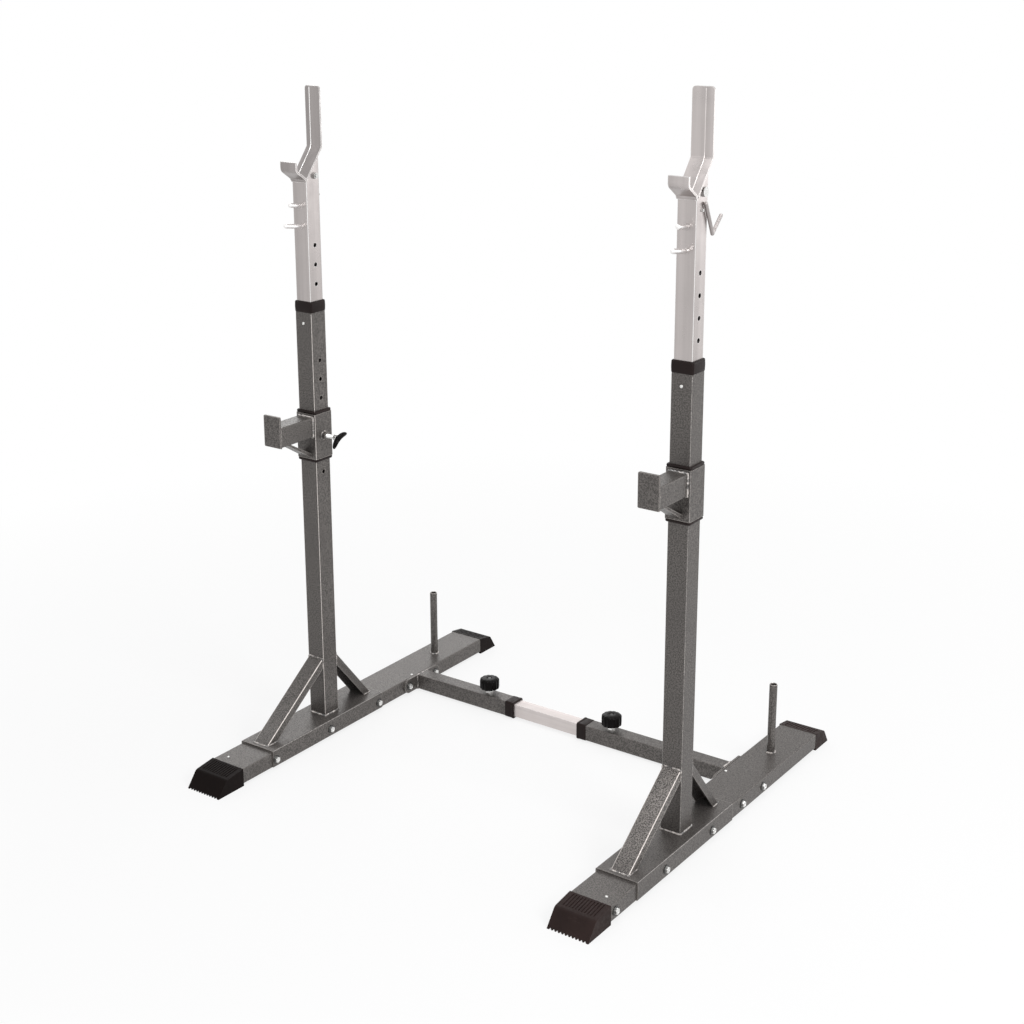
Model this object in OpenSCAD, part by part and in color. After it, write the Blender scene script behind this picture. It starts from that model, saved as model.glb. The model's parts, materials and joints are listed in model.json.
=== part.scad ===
// Pair of adjustable squat stands joined by a telescoping crossbar.
// Each stand: flat base tube, square upright, sliding bar catch and a sliding spotter catch.
// One stand is written in its own place, with its upright's axis at x = 0, y = 0,
// the floor at z = 0, the lifter in front (-Y) and the other stand on its +X side.

/* [Stance] */
// Distance between the axes of the two uprights
stand_spacing = 1022; // [1000:2:1060]
// Holes that the left bar catch is raised above its lowest place
left_catch_step = 3; // [0:1:8]
// Holes that the right bar catch is raised above its lowest place
right_catch_step = 4; // [0:1:8]
// Hole, counted from the lowest, that the left spotter catch is set at
left_spotter_step = 2; // [0:1:6]
// Hole, counted from the lowest, that the right spotter catch is set at
right_spotter_step = 3; // [0:1:6]

/* [Base] */
// Width of the flat base tube
base_w = 98; // [90:1:110]
// Height of the flat base tube
base_h = 38; // [36:1:44]
// Wall of the base tube
base_wall = 2.5; // [2:0.1:3]
// Clear height under the base tube
floor_gap = 5; // [4:0.5:8]
// Length of tube ahead of the upright's axis
base_front = 345; // [320:1:380]
// Length of tube behind the upright's axis
base_rear = 597; // [560:1:640]
// Corner radius of the steel tubes
tube_corner = 3; // [2.5:0.1:4]
// Length of the front end caps
front_cap_length = 85; // [70:1:95]
// Length of the rear end caps
rear_cap_length = 68; // [64:1:85]
// Thickness of the channel's top, which the upright stands on
plate_t = 5; // [3:0.5:8]
// Sheet of the channel's sides, which are bolted to the base tube
channel_t = 3; // [2:0.5:4]
// Reach of the channel ahead of the front brace's foot
channel_front_margin = 11; // [8:1:26]
// Reach of the channel behind the rear brace's foot
channel_rear_margin = 13; // [10:1:30]

/* [Upright] */
// Outside size of the square upright
upright_w = 50; // [48:1:54]
// Wall of the upright
upright_wall = 1.75; // [1.5:0.05:2]
// Height of the upright's top above the floor
upright_top = 1092; // [1060:1:1130]
// Distance between two adjusting holes
hole_pitch = 46; // [43:1:47]
// Diameter of the adjusting holes
hole_d = 10.5; // [8:0.5:12]
// Height of the lowest adjusting hole above the floor
lowest_hole_z = 685; // [660:1:700]
// Number of adjusting holes in the upright
hole_count = 7; // [7:1:8]
// Width of the two diagonal braces
brace_w = 46; // [40:1:48]
// Height of the braces' tops above the floor
brace_top = 202; // [190:1:220]
// Foot of the front brace ahead of the upright's axis
brace_front_reach = 234; // [200:1:240]
// Foot of the rear brace behind the upright's axis
brace_rear_reach = 152; // [130:1:180]
// Depth of a brace's folded sides
brace_depth = 20; // [16:1:24]
// Sheet of the braces
brace_t = 3; // [2.5:0.1:4]

/* [Storage peg] */
// Diameter of the storage peg
peg_d = 19; // [16:0.5:25]
// Height of the storage peg above the base
peg_h = 176; // [140:1:220]
// Distance of the storage peg behind the upright's axis
peg_y = 452; // [440:1:500]

/* [Bar catch] */
// Outside size of the sliding inner tube
inner_w = 44; // [43.8:0.1:44.2]
// Wall of the inner tube
inner_wall = 2; // [1.6:0.1:2.5]
// Length of the inner tube
inner_length = 900; // [850:5:940]
// Holes between the upright's lowest and the inner tube's first, with the tube at its lowest
catch_hole_rise = 9; // [9:1:10]
// Distance of the tube's first hole below its front edge
first_hole_drop = 151; // [145:1:160]
// Slope of the catch's ramp in degrees
ramp_angle = 52; // [44:1:55]
// Width of the guide that runs up the ramp and stands behind the bar
guide_w = 48; // [44:1:52]
// Sheet of the guide
guide_t = 4; // [3:0.5:5]
// Height of the guide's top above the tube's front edge
guide_top = 212; // [170:1:235]
// Distance of the guide's upright face behind the tube's front face
guide_setback = 52; // [48:1:60]
// Distance of the guide's crease from the middle, towards the outer side
guide_crease = 7; // [4:1:10]
// Angle of the fold at the crease in degrees
guide_fold = 14; // [8:1:18]
// Width of the front lip
lip_w = 47; // [44:1:52]
// Thickness of the front lip
lip_t = 5; // [4:0.5:6]
// Reach of the lip ahead of the tube's front face
lip_reach = 36; // [32:1:45]
// Slope of the lip's lower part in degrees
lip_slope = 34; // [28:1:38]
// Height of the lip above the tube's front edge
lip_top = 46; // [40:1:60]
// Diameter of the front pegs
front_peg_d = 11; // [8:0.5:14]
// Diameter of the rear hook's rod
hook_d = 8; // [6:0.5:9]

/* [Spotter catch] */
// Outside size of the sliding sleeve
sleeve_w = 60; // [60:0.5:62]
// Wall of the sleeve
sleeve_wall = 3; // [2.5:0.1:3]
// Height of the sleeve with its two liners
sleeve_h = 126; // [120:1:136]
// Height of the liners' black flanges
liner_flange = 7; // [5:0.5:9]
// Width of the arm
arm_w = 46; // [40:1:50]
// Height of the arm
arm_h = 49; // [44:1:52]
// Reach of the arm ahead of the sleeve
arm_reach = 117; // [100:1:140]
// Height of the stop plate at the arm's end
stop_h = 76; // [68:1:90]
// Width of the stop plate
stop_w = 50; // [48:1:56]

/* [Crossbar] */
// Outside size of the crossbar's sleeves
crossbar_w = 40; // [38:1:42]
// Wall of the crossbar's sleeves
crossbar_wall = 2; // [1.8:0.1:2]
// Outside size of the crossbar's inner tube
slider_w = 34; // [33:0.5:34]
// Length of the crossbar's inner tube
slider_length = 572; // [560:1:590]
// Distance of the crossbar behind the uprights' axes
crossbar_y = 330; // [325:1:340]
// Reach of the left half, from the upright's axis to its end bushing's face
left_half_reach = 366; // [350:1:390]
// Reach of the right half, from the upright's axis to its end bushing's face
right_half_reach = 464; // [440:1:480]
// Distance of the clamp knobs from the bushings' faces
knob_back = 90; // [80:1:110]
// Diameter of the clamp knobs
knob_d = 51; // [40:1:52]

/* [Fits] */
// Gap all round a tube that slides in a bushing
slide_gap = 0.3; // [0.2:0.05:0.4]
// Radial gap round a screw that turns in its nut
thread_gap = 0.05; // [0.02:0.01:0.1]
// Gap of the plugs in the tubes' ends
plug_gap = 0.2; // [0.1:0.05:0.4]

/* [Hidden] */
$fn = 48;

// Whole object
base_top = floor_gap + base_h;
plate_top = base_top + plate_t;
plate_front = brace_front_reach + channel_front_margin;
plate_rear = brace_rear_reach + channel_rear_margin;
upright_y = (base_front + front_cap_length - base_rear - rear_cap_length) / 2;
left_x = -stand_spacing / 2;
right_x = stand_spacing / 2;

// Caps
cap_proud = 1;
cap_w = base_w + 2 * cap_proud;
cap_front_drop = 7;
cap_top_share = 0.66;
cap_crown_r = 12;
cap_plug = 32;
groove_count = 11;
groove_pitch = 7.4;
groove_w = 3;
groove_depth = 1.6;
groove_margin = 5;
tread_count = 12;
tread_pitch = cap_w / tread_count;
tread_depth = 3;

// Side bolts, hex nuts and washers
bolt_r = 4;
bolt_hole_r = bolt_r + 0.1;
bolt_head_r = 7.5;
bolt_head_h = 5.3;
bolt_length = 16;
washer_r = 9;
washer_t = 1.6;
nut_h = 6;
inner_bolt_y = [-plate_front + 10, -36, plate_rear - 14];
outer_bolt_y = [-base_front + 18, -130, 71, plate_rear + 52, 318];
bolt_z = floor_gap + base_h / 2;
top_screw_r = 3.2;
top_screw_tip_r = 1.9;
top_screw_h = 2;
top_screw_shank_r = 2;
top_screw_x = [-23, 40];
top_screw_front_gap = 25;
top_screw_rear_gap = 28;
top_screw_spots = [
    [top_screw_x[0], -base_front + top_screw_front_gap],
    [top_screw_x[1], crossbar_y - top_screw_rear_gap]
];
cap_pocket_w = 2 * bolt_head_r + 3;
// Small overlap that joins two shapes of one piece
joined = 0.01;

// Upright and its top bushing
bushing_rise = 13;
bushing_skirt = 14;
bushing_skirt_t = 1.3;
bushing_liner = 50;
liner_gap = 0.01;
liner_corner = 1.2;
inner_hole_w = inner_w + 2 * slide_gap;
upright_inside = upright_w - 2 * upright_wall;
button_drop = 40;
button_r = 3.6;
button_tip_r = 2.2;
button_h = 2.2;

// Inner tube and bar catch, whose holes meet the upright's at every step
lowest_catch_z = lowest_hole_z + catch_hole_rise * hole_pitch + first_hole_drop;
inner_hole_count = floor((inner_length - first_hole_drop - 20) / hole_pitch);
mitre_rise = inner_w * tan(ramp_angle);
guide_corner = 8;
guide_bend_r = 6;
lip_weld = 5;
lip_bend_r = 14;
front_peg_drops = [58, 106];
front_peg_lengths = [38, 56];
front_peg_tilt = 8;
catch_bolt_y = 6;
catch_bolt_z = 10;
catch_cap_r = 10;
catch_cap_t = 5;
catch_pin_z = -26;
catch_pin_r = 3;
catch_pin_h = 3;
hook_points = [[8, -14], [37, -77], [70, -45]];
hook_knuckle = 0.1;

// Spotter catch
sleeve_inside = sleeve_w - 2 * sleeve_wall;
liner_hole_w = upright_w + 2 * slide_gap;
liner_skirt = 24;
liner_side_gap = 0.3;
arm_wall = 2.5;
stop_t = 5;
arm_brace_t = 5;
arm_brace_w = 30;
arm_brace_foot = 52;
arm_brace_reach = 85;
wing_screw_r = 5;
wing_boss_r = 9.5;
wing_boss_h = 10;
wing_x = 70;
wing_r = 6.5;
wing_hub_r = 9;
wing_t = 13;
wing_bend_r = 42;
wing_sweep = 66;
wing_turn = 30;

// Crossbar
crossbar_z = floor_gap + base_h / 2;
flange_t = 5;
flange_bolt_off = 55;
half_start = base_w / 2 + flange_t;
end_bushing_t = 2;
end_bushing_skirt = 21;
end_bushing_wall = 6;
end_liner_corner = 0.5;
slider_hole_w = slider_w + 2 * slide_gap;
slider_wall = 2;
slider_corner = 2.5;
clamp_stud_r = 5;
clamp_nut_r = 10;
clamp_nut_h = 8;
knob_lift = 9.5;
knob_h = 32;
knob_hub_r = 12;
knob_hub_h = 4;
knob_flutes = 8;
knob_flute_r = 5;
left_knob_x = left_half_reach - knob_back;
right_knob_x = right_half_reach - knob_back;
slider_overlap = (slider_length - (stand_spacing - left_half_reach - right_half_reach)) / 2;
slider_start = left_x + left_half_reach - slider_overlap;

paint = "dimgray";
chrome = "silver";
zinc = "gainsboro";
plastic = [0.12, 0.1, 0.1];

// Puts a stand's piece in its place; the right stand is the left one's mirror image
module left_place() {
    translate([left_x, upright_y, 0]) children();
}
module right_place() {
    translate([right_x, upright_y, 0]) mirror([1, 0, 0]) children();
}

// Filled rectangle with round corners, centred
module rounded_rect(w, h, r) {
    square([w - 2 * r, h], center = true);
    square([w, h - 2 * r], center = true);
    for (sx = [-1, 1]) {
        for (sy = [-1, 1]) {
            translate([sx * (w / 2 - r), sy * (h / 2 - r)]) circle(r = r);
        }
    }
}

// Rectangular tube along +Z from z = 0
module tube(w, h, wall, length, r) {
    linear_extrude(length) difference() {
        rounded_rect(w, h, r);
        rounded_rect(w - 2 * wall, h - 2 * wall, max(r - wall, 0.4));
    }
}

// Direction from one point to another, as a unit vector
function toward(from, to) = (to - from) / norm(to - from);

// Arc that rounds the corner b between a and c
function rounded_corner(a, b, c, r, steps = 6) =
    let (
        half = acos(toward(b, a) * toward(b, c)) / 2,
        first = b + toward(b, a) * r / tan(half),
        last = b + toward(b, c) * r / tan(half),
        middle = b + toward(b, (first + last) / 2) * r / sin(half),
        start = atan2(first[1] - middle[1], first[0] - middle[0]),
        turn = atan2(last[1] - middle[1], last[0] - middle[0]) - start,
        sweep = turn > 180 ? turn - 360 : turn < -180 ? turn + 360 : turn
    )
    [for (i = [0 : steps]) middle + r * [cos(start + sweep * i / steps), sin(start + sweep * i / steps)]];

// Side profile, given as [y, z] points, made w wide and centred on x = 0
module side_plate(points, w) {
    translate([-w / 2, 0, 0]) rotate([90, 0, 90]) linear_extrude(w) polygon(points);
}

// Round rod between two points
module rod(from, to, r) {
    step = to - from;
    length = norm(step);
    tilt = acos(step[2] / length);
    heading = atan2(step[1], step[0]);
    translate(from) rotate([0, tilt, heading]) cylinder(r = r, h = length);
}

// Cylinder along +X from its start
module x_cylinder(start, r, h, sides = 48) {
    translate(start) rotate([0, 90, 0]) cylinder(r = r, h = h, $fn = sides);
}

// Hex bolt along +X whose washer lies on a face at x = 0, with its nut on the wall's other side
module side_bolt(wall) {
    x_cylinder([-washer_t - bolt_head_h, 0, 0], bolt_head_r, bolt_head_h, 6);
    x_cylinder([-washer_t - joined, 0, 0], bolt_r, bolt_length + washer_t);
    difference() {
        x_cylinder([-washer_t, 0, 0], washer_r, washer_t);
        x_cylinder([-washer_t - 1, 0, 0], bolt_hole_r, washer_t + 2);
    }
    difference() {
        x_cylinder([wall, 0, 0], bolt_head_r, nut_h, 6);
        x_cylinder([wall - 1, 0, 0], bolt_r + thread_gap, nut_h + 2);
    }
}

module base_tube() {
    color(paint) difference() {
        translate([0, -base_front, floor_gap + base_h / 2]) rotate([-90, 0, 0])
            tube(base_w, base_h, base_wall, base_front + base_rear, tube_corner);
        for (y = concat(inner_bolt_y, [crossbar_y - flange_bolt_off, crossbar_y + flange_bolt_off])) {
            x_cylinder([base_w / 2 - 2 * base_wall, y, bolt_z], bolt_hole_r, 4 * base_wall);
        }
        for (y = outer_bolt_y) {
            x_cylinder([-base_w / 2 - 2 * base_wall, y, bolt_z], bolt_hole_r, 4 * base_wall);
        }
        for (spot = top_screw_spots) {
            translate([spot[0], spot[1], base_top - 2 * base_wall])
                cylinder(r = top_screw_shank_r + plug_gap, h = 4 * base_wall);
        }
    }
}

// End cap in its own place: the tube's end at y = 0, the cap reaching towards +Y
module end_cap(length) {
    crown_y = length * cap_top_share;
    top = base_top + cap_proud;
    slope = atan(cap_front_drop / crown_y);
    crown = rounded_corner([0, top], [crown_y, top - cap_front_drop], [length, 0], cap_crown_r);
    plug_w = base_w - 2 * base_wall - 2 * plug_gap;
    plug_h = base_h - 2 * base_wall - 2 * plug_gap;
    color(plastic) difference() {
        union() {
            side_plate(concat([[0, 0], [0, top]], crown, [[length, 0]]), cap_w);
            translate([0, 0, floor_gap + base_h / 2]) rotate([90, 0, 0]) linear_extrude(cap_plug)
                square([plug_w, plug_h], center = true);
        }
        for (i = [0 : groove_count - 1]) {
            groove_x = (i - (groove_count - 1) / 2) * groove_pitch;
            translate([groove_x, groove_margin, top - groove_margin * tan(slope)])
                rotate([-slope, 0, 0])
                    translate([-groove_w / 2, 0, -groove_depth])
                        cube([groove_w, crown_y - 3 * groove_margin, 3 * groove_depth]);
        }
        for (i = [1 : tread_count - 1]) {
            translate([-cap_w / 2 + i * tread_pitch, -1, 0]) rotate([0, 45, 0])
                translate([-tread_depth / sqrt(2), 0, -tread_depth / sqrt(2)])
                    cube([tread_depth * sqrt(2), length + 2, tread_depth * sqrt(2)]);
        }
        for (side = [-1, 1]) {
            translate([side * base_w / 2 - cap_pocket_w, -cap_plug - 1, bolt_z - cap_pocket_w / 2])
                cube([2 * cap_pocket_w, cap_plug - 1, cap_pocket_w]);
        }
        translate([-base_w / 2, -cap_plug - 1, base_top - cap_pocket_w / 2])
            cube([base_w, cap_plug - 1, cap_pocket_w]);
    }
}
module front_cap() {
    translate([0, -base_front, 0]) mirror([0, 1, 0]) end_cap(front_cap_length);
}
module rear_cap() {
    translate([0, base_rear, 0]) end_cap(rear_cap_length);
}

// Channel that folds over the base tube and is bolted to its sides
module foot_plate() {
    length = plate_front + plate_rear;
    outside = base_w + 2 * channel_t;
    color(paint) difference() {
        translate([0, -plate_front, floor_gap]) rotate([-90, 0, 0]) linear_extrude(length)
            translate([0, -(plate_top - floor_gap) / 2])
                rounded_rect(outside, plate_top - floor_gap, tube_corner);
        translate([-base_w / 2, -plate_front - 1, 0]) cube([base_w, length + 2, base_top]);
        for (y = outer_bolt_y) {
            x_cylinder([-outside / 2 - 1, y, bolt_z], bolt_hole_r, channel_t + 2);
        }
        for (y = inner_bolt_y) {
            x_cylinder([base_w / 2 - 1, y, bolt_z], bolt_hole_r, channel_t + 2);
        }
    }
}

// Thickness of the channel's side at a place along the base
function channel_at(y) = y > -plate_front && y < plate_rear ? channel_t : 0;

module base_bolts() {
    color(zinc) {
        for (y = outer_bolt_y) {
            translate([-base_w / 2 - channel_at(y), y, bolt_z]) side_bolt(base_wall + channel_at(y));
        }
        for (y = inner_bolt_y) {
            translate([base_w / 2 + channel_at(y), y, bolt_z])
                mirror([1, 0, 0]) side_bolt(base_wall + channel_at(y));
        }
        for (s = [-1, 1]) {
            translate([base_w / 2 + flange_t, crossbar_y + s * flange_bolt_off, bolt_z])
                mirror([1, 0, 0]) side_bolt(base_wall + flange_t);
        }
        for (spot = top_screw_spots) {
            translate([spot[0], spot[1], base_top]) {
                cylinder(r1 = top_screw_r, r2 = top_screw_tip_r, h = top_screw_h);
                translate([0, 0, -2 * base_wall])
                    cylinder(r = top_screw_shank_r, h = 2 * base_wall + joined);
            }
        }
    }
}

module upright() {
    color(paint) difference() {
        translate([0, 0, plate_top])
            tube(upright_w, upright_w, upright_wall, upright_top - plate_top, tube_corner);
        for (i = [0 : hole_count - 1]) {
            hole_z = lowest_hole_z + i * hole_pitch;
            x_cylinder([upright_inside / 2 - 1, 0, hole_z], hole_d / 2, upright_w / 2);
        }
        translate([0, -upright_inside / 2 + 1, upright_top - button_drop]) rotate([90, 0, 0])
            cylinder(r = top_screw_shank_r + plug_gap, h = upright_w / 2);
    }
}

// Folded brace whose outer face runs from the upright down to the plate, reaching towards -Y
module brace(reach) {
    near = upright_w / 2;
    rise = brace_top - plate_top;
    run = reach - near;
    slope = atan(rise / run);
    down = brace_depth / cos(slope);
    back = brace_depth / sin(slope);
    sheet_down = brace_t / cos(slope);
    sheet_back = brace_t / sin(slope);
    color(paint) {
        side_plate([
            [-near, brace_top],
            [-reach, plate_top],
            [-reach + sheet_back, plate_top],
            [-near, brace_top - sheet_down]
        ], brace_w);
        for (s = [-1, 1]) {
            translate([s * (brace_w - brace_t) / 2, 0, 0]) side_plate([
                [-near, brace_top],
                [-reach, plate_top],
                [-reach + back, plate_top],
                [-near, brace_top - down]
            ], brace_t);
        }
    }
}
module front_brace() {
    brace(brace_front_reach);
}
module rear_brace() {
    mirror([0, 1, 0]) brace(brace_rear_reach);
}

// Tube closed below its open mouth, with a bead of weld at its foot
module storage_peg() {
    mouth = 8;
    rim = 2.2;
    bead = 3;
    color(paint) translate([0, peg_y, base_top]) difference() {
        union() {
            cylinder(r = peg_d / 2, h = peg_h);
            cylinder(r1 = peg_d / 2 + bead, r2 = peg_d / 2, h = bead);
        }
        translate([0, 0, peg_h - mouth]) cylinder(r = peg_d / 2 - rim, h = mouth + 1);
    }
}

// Cap over the upright's end that guides the inner tube
module top_bushing() {
    outside = upright_w + 2 * bushing_skirt_t;
    liner_w = upright_inside - 2 * liner_gap;
    color(plastic) difference() {
        union() {
            translate([0, 0, upright_top]) linear_extrude(bushing_rise)
                rounded_rect(outside, outside, tube_corner);
            translate([0, 0, upright_top - bushing_skirt]) linear_extrude(bushing_skirt) difference() {
                rounded_rect(outside, outside, tube_corner);
                rounded_rect(upright_w, upright_w, tube_corner);
            }
            translate([0, 0, upright_top - bushing_liner]) linear_extrude(bushing_liner)
                rounded_rect(liner_w, liner_w, liner_corner);
        }
        translate([0, 0, upright_top - bushing_liner - 1])
            linear_extrude(bushing_liner + bushing_rise + 2) square(inner_hole_w, center = true);
    }
}

module bushing_screw() {
    color(zinc) translate([0, -upright_w / 2, upright_top - button_drop]) rotate([90, 0, 0]) {
        cylinder(r1 = button_r, r2 = button_tip_r, h = button_h);
        translate([0, 0, -upright_wall]) cylinder(r = top_screw_shank_r, h = upright_wall + joined);
    }
}

// Outer half of the crossbar, with the clamp's nut welded on top
module crossbar_half(reach) {
    knob_x = reach - knob_back;
    length = reach - end_bushing_wall - half_start;
    color(paint) difference() {
        union() {
            translate([half_start, crossbar_y, crossbar_z]) rotate([90, 0, 90])
                tube(crossbar_w, crossbar_w, crossbar_wall, length, slider_corner);
            translate([knob_x, crossbar_y, crossbar_z + crossbar_w / 2 - joined])
                cylinder(r = clamp_nut_r, h = clamp_nut_h, $fn = 6);
        }
        translate([knob_x, crossbar_y, crossbar_z + crossbar_w / 2 - 2 * crossbar_wall])
            cylinder(r = clamp_stud_r + thread_gap, h = clamp_nut_h + 3 * crossbar_wall);
    }
}

// Plate with round ends that bolts the crossbar to the base's inner side
module crossbar_flange() {
    color(paint) translate([base_w / 2, crossbar_y, crossbar_z]) rotate([90, 0, 90])
        linear_extrude(flange_t) difference() {
            union() {
                square([2 * flange_bolt_off, base_h], center = true);
                for (s = [-1, 1]) {
                    translate([s * flange_bolt_off, 0]) circle(r = base_h / 2);
                }
            }
            for (s = [-1, 1]) {
                translate([s * flange_bolt_off, 0]) circle(r = bolt_hole_r);
            }
        }
}

module end_bushing(reach) {
    outside = crossbar_w + 2 * end_bushing_t;
    liner_w = crossbar_w - 2 * crossbar_wall - 2 * liner_gap;
    sleeve_end = reach - end_bushing_wall;
    color(plastic) translate([0, crossbar_y, crossbar_z]) difference() {
        union() {
            translate([sleeve_end, 0, 0]) rotate([90, 0, 90]) linear_extrude(end_bushing_wall)
                rounded_rect(outside, outside, slider_corner);
            translate([sleeve_end - end_bushing_skirt, 0, 0]) rotate([90, 0, 90])
                linear_extrude(end_bushing_skirt) difference() {
                    rounded_rect(outside, outside, slider_corner);
                    rounded_rect(crossbar_w, crossbar_w, slider_corner);
                }
            translate([sleeve_end - end_bushing_skirt, 0, 0]) rotate([90, 0, 90])
                linear_extrude(end_bushing_skirt) rounded_rect(liner_w, liner_w, end_liner_corner);
        }
        translate([sleeve_end - end_bushing_skirt - 1, 0, 0]) rotate([90, 0, 90])
            linear_extrude(end_bushing_skirt + end_bushing_wall + 2) square(slider_hole_w, center = true);
    }
}

module clamp_stud(knob_x) {
    foot = crossbar_z + slider_w / 2 + slide_gap;
    color(zinc) translate([knob_x, crossbar_y, foot])
        cylinder(r = clamp_stud_r, h = crossbar_z + crossbar_w / 2 + knob_lift - foot);
}

// Fluted hand knob with a domed top
module clamp_knob(knob_x) {
    bevel = 3;
    grip_h = knob_h - knob_hub_h;
    color(plastic) translate([knob_x, crossbar_y, crossbar_z + crossbar_w / 2 + knob_lift]) {
        cylinder(r = knob_hub_r, h = knob_hub_h + joined);
        translate([0, 0, knob_hub_h]) difference() {
            union() {
                cylinder(r = knob_d / 2, h = grip_h - bevel);
                translate([0, 0, grip_h - bevel])
                    cylinder(r1 = knob_d / 2, r2 = knob_d / 2 - bevel, h = bevel);
            }
            for (i = [0 : knob_flutes - 1]) {
                rotate(i * 360 / knob_flutes) translate([knob_d / 2 + knob_flute_r * 0.5, 0, -1])
                    cylinder(r = knob_flute_r, h = grip_h + 2);
            }
        }
    }
}

module crossbar_slider() {
    color(chrome) translate([slider_start, upright_y + crossbar_y, crossbar_z]) rotate([90, 0, 90])
        tube(slider_w, slider_w, slider_wall, slider_length, slider_corner);
}

// The bar catch's pieces are written with the inner tube's front edge at z = 0
module raised(step) {
    translate([0, 0, lowest_catch_z + step * hole_pitch]) children();
}

// Space above a plane that rises towards +Y from the origin
module above_slope(angle) {
    rotate([angle, 0, 0])
        translate([-2 * inner_w, -inner_w, 0])
            cube([4 * inner_w, 5 * inner_w, 2 * inner_w]);
}

module inner_tube() {
    color(chrome) difference() {
        translate([0, 0, mitre_rise - inner_length])
            tube(inner_w, inner_w, inner_wall, inner_length, slider_corner);
        translate([0, -inner_w / 2, 0]) above_slope(ramp_angle);
        translate([-guide_crease, -inner_w / 2, 0]) rotate([0, 0, -guide_fold])
            above_slope(atan(tan(ramp_angle) / cos(guide_fold)));
        for (i = [0 : inner_hole_count - 1]) {
            hole_z = -first_hole_drop - i * hole_pitch;
            x_cylinder([-inner_w, 0, hole_z], hole_d / 2, 2 * inner_w);
        }
        x_cylinder([-inner_w, catch_bolt_y, catch_bolt_z], bolt_hole_r, 2 * inner_w);
        x_cylinder([-inner_w, 0, catch_pin_z], catch_pin_r, inner_w);
    }
}

// Bent lip that keeps the bar from rolling forward, with a fillet of weld under its foot
module catch_lip() {
    face = -inner_w / 2;
    far = face - lip_reach;
    sheet_rise = lip_t / cos(lip_slope);
    heel = [face, sheet_rise];
    toe = [face - lip_weld, lip_weld * tan(lip_slope)];
    outer_bend = [far, lip_reach * tan(lip_slope)];
    inner_bend = [far + lip_t, (lip_reach - lip_t) * tan(lip_slope) + sheet_rise];
    color(chrome) side_plate(concat(
        [[far + lip_t, lip_top], [far, lip_top]],
        rounded_corner([far, lip_top], outer_bend, toe, lip_bend_r),
        [toe, [face, -lip_weld], heel],
        rounded_corner(heel, inner_bend, [far + lip_t, lip_top], lip_bend_r - lip_t)
    ), lip_w);
}

// Sheet that lies on the tube's slanted end and then stands up behind the bar, with a shallow crease.
// It is swept through stations, each given as [front point, back point, inset of the sides].
module bar_guide() {
    rise = guide_t / cos(ramp_angle);
    front_bend = [guide_setback, guide_setback * tan(ramp_angle) + rise];
    back_bend = [guide_setback + guide_t, (guide_setback + guide_t) * tan(ramp_angle)];
    front_top = [guide_setback, guide_top];
    back_top = [guide_setback + guide_t, guide_top];
    front_line = concat([[0, rise]], rounded_corner([0, rise], front_bend, front_top, guide_bend_r));
    back_line = concat([[0, 0]], rounded_corner([0, 0], back_bend, back_top, guide_bend_r + guide_t));
    stations = concat(
        [for (i = [0 : len(front_line) - 1]) [front_line[i], back_line[i], 0]],
        [for (angle = [0 : 15 : 90])
            let (drop = [0, guide_corner * (1 - sin(angle))])
            [front_top - drop, back_top - drop, guide_corner * (1 - cos(angle))]]
    );
    last = 6 * (len(stations) - 1);
    color(chrome) polyhedron(
        points = [for (station = stations) each guide_ring(station[0], station[1], station[2])],
        faces = concat(
            [[0, 1, 4, 5], [1, 2, 3, 4]],
            [for (i = [0 : 6 : last - 6], j = [0 : 5])
                [i + j, i + 6 + j, i + 6 + (j + 1) % 6, i + (j + 1) % 6]],
            [[last + 5, last + 4, last + 1, last], [last + 4, last + 3, last + 2, last + 1]]
        )
    );
}

// Six corners of the creased sheet at one station
function guide_ring(front_point, back_point, inset) =
    let (
        edge = guide_w / 2 - inset,
        lean = (edge - guide_crease) * tan(guide_fold),
        front_y = front_point[0] - inner_w / 2,
        back_y = back_point[0] - inner_w / 2
    )
    [
        [-edge, front_y + lean, front_point[1]],
        [-guide_crease, front_y, front_point[1]],
        [edge, front_y, front_point[1]],
        [edge, back_y, back_point[1]],
        [-guide_crease, back_y, back_point[1]],
        [-edge, back_y + lean, back_point[1]]
    ];

// Two short round pegs on the front face
module front_pegs() {
    radius = front_peg_d / 2;
    color(chrome) for (i = [0 : len(front_peg_drops) - 1]) {
        translate([0, -inner_w / 2, -front_peg_drops[i]]) difference() {
            rotate([90 - front_peg_tilt, 0, 0]) {
                translate([0, 0, -front_peg_d]) cylinder(r = radius, h = front_peg_lengths[i] + radius);
                translate([0, 0, front_peg_lengths[i] - radius]) sphere(r = radius);
            }
            translate([-front_peg_d, 0, -front_peg_d]) cube(2 * front_peg_d);
        }
    }
}

// Bent rod welded to the outer side
module rear_hook() {
    x = -inner_w / 2 - hook_d / 2 - hook_knuckle;
    spots = [for (p = hook_points) [x, p[0], p[1]]];
    color(chrome) {
        for (i = [0 : len(spots) - 2]) {
            rod(spots[i], spots[i + 1], hook_d / 2);
        }
        for (p = spots) {
            translate(p) sphere(r = hook_d / 2 + hook_knuckle);
        }
    }
}

// Cross bolt through the inner tube's head, its nut, its round cap and a small pin
module catch_bolts() {
    color(zinc) {
        x_cylinder([-inner_w / 2, catch_bolt_y, catch_bolt_z], bolt_r, inner_w + nut_h + 2);
        x_cylinder([-inner_w / 2 - catch_cap_t, catch_bolt_y, catch_bolt_z],
            catch_cap_r, catch_cap_t + joined);
        difference() {
            x_cylinder([inner_w / 2, catch_bolt_y, catch_bolt_z], bolt_head_r, nut_h, 6);
            x_cylinder([inner_w / 2 - 1, catch_bolt_y, catch_bolt_z], bolt_r + thread_gap, nut_h + 2);
        }
        x_cylinder([-inner_w / 2 - catch_pin_h, 0, catch_pin_z], catch_pin_r, catch_pin_h + inner_wall);
    }
}

// The spotter catch's pieces are written with the wing screw's axis at z = 0
module spotted(step) {
    translate([0, 0, lowest_hole_z + step * hole_pitch]) children();
}

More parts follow.
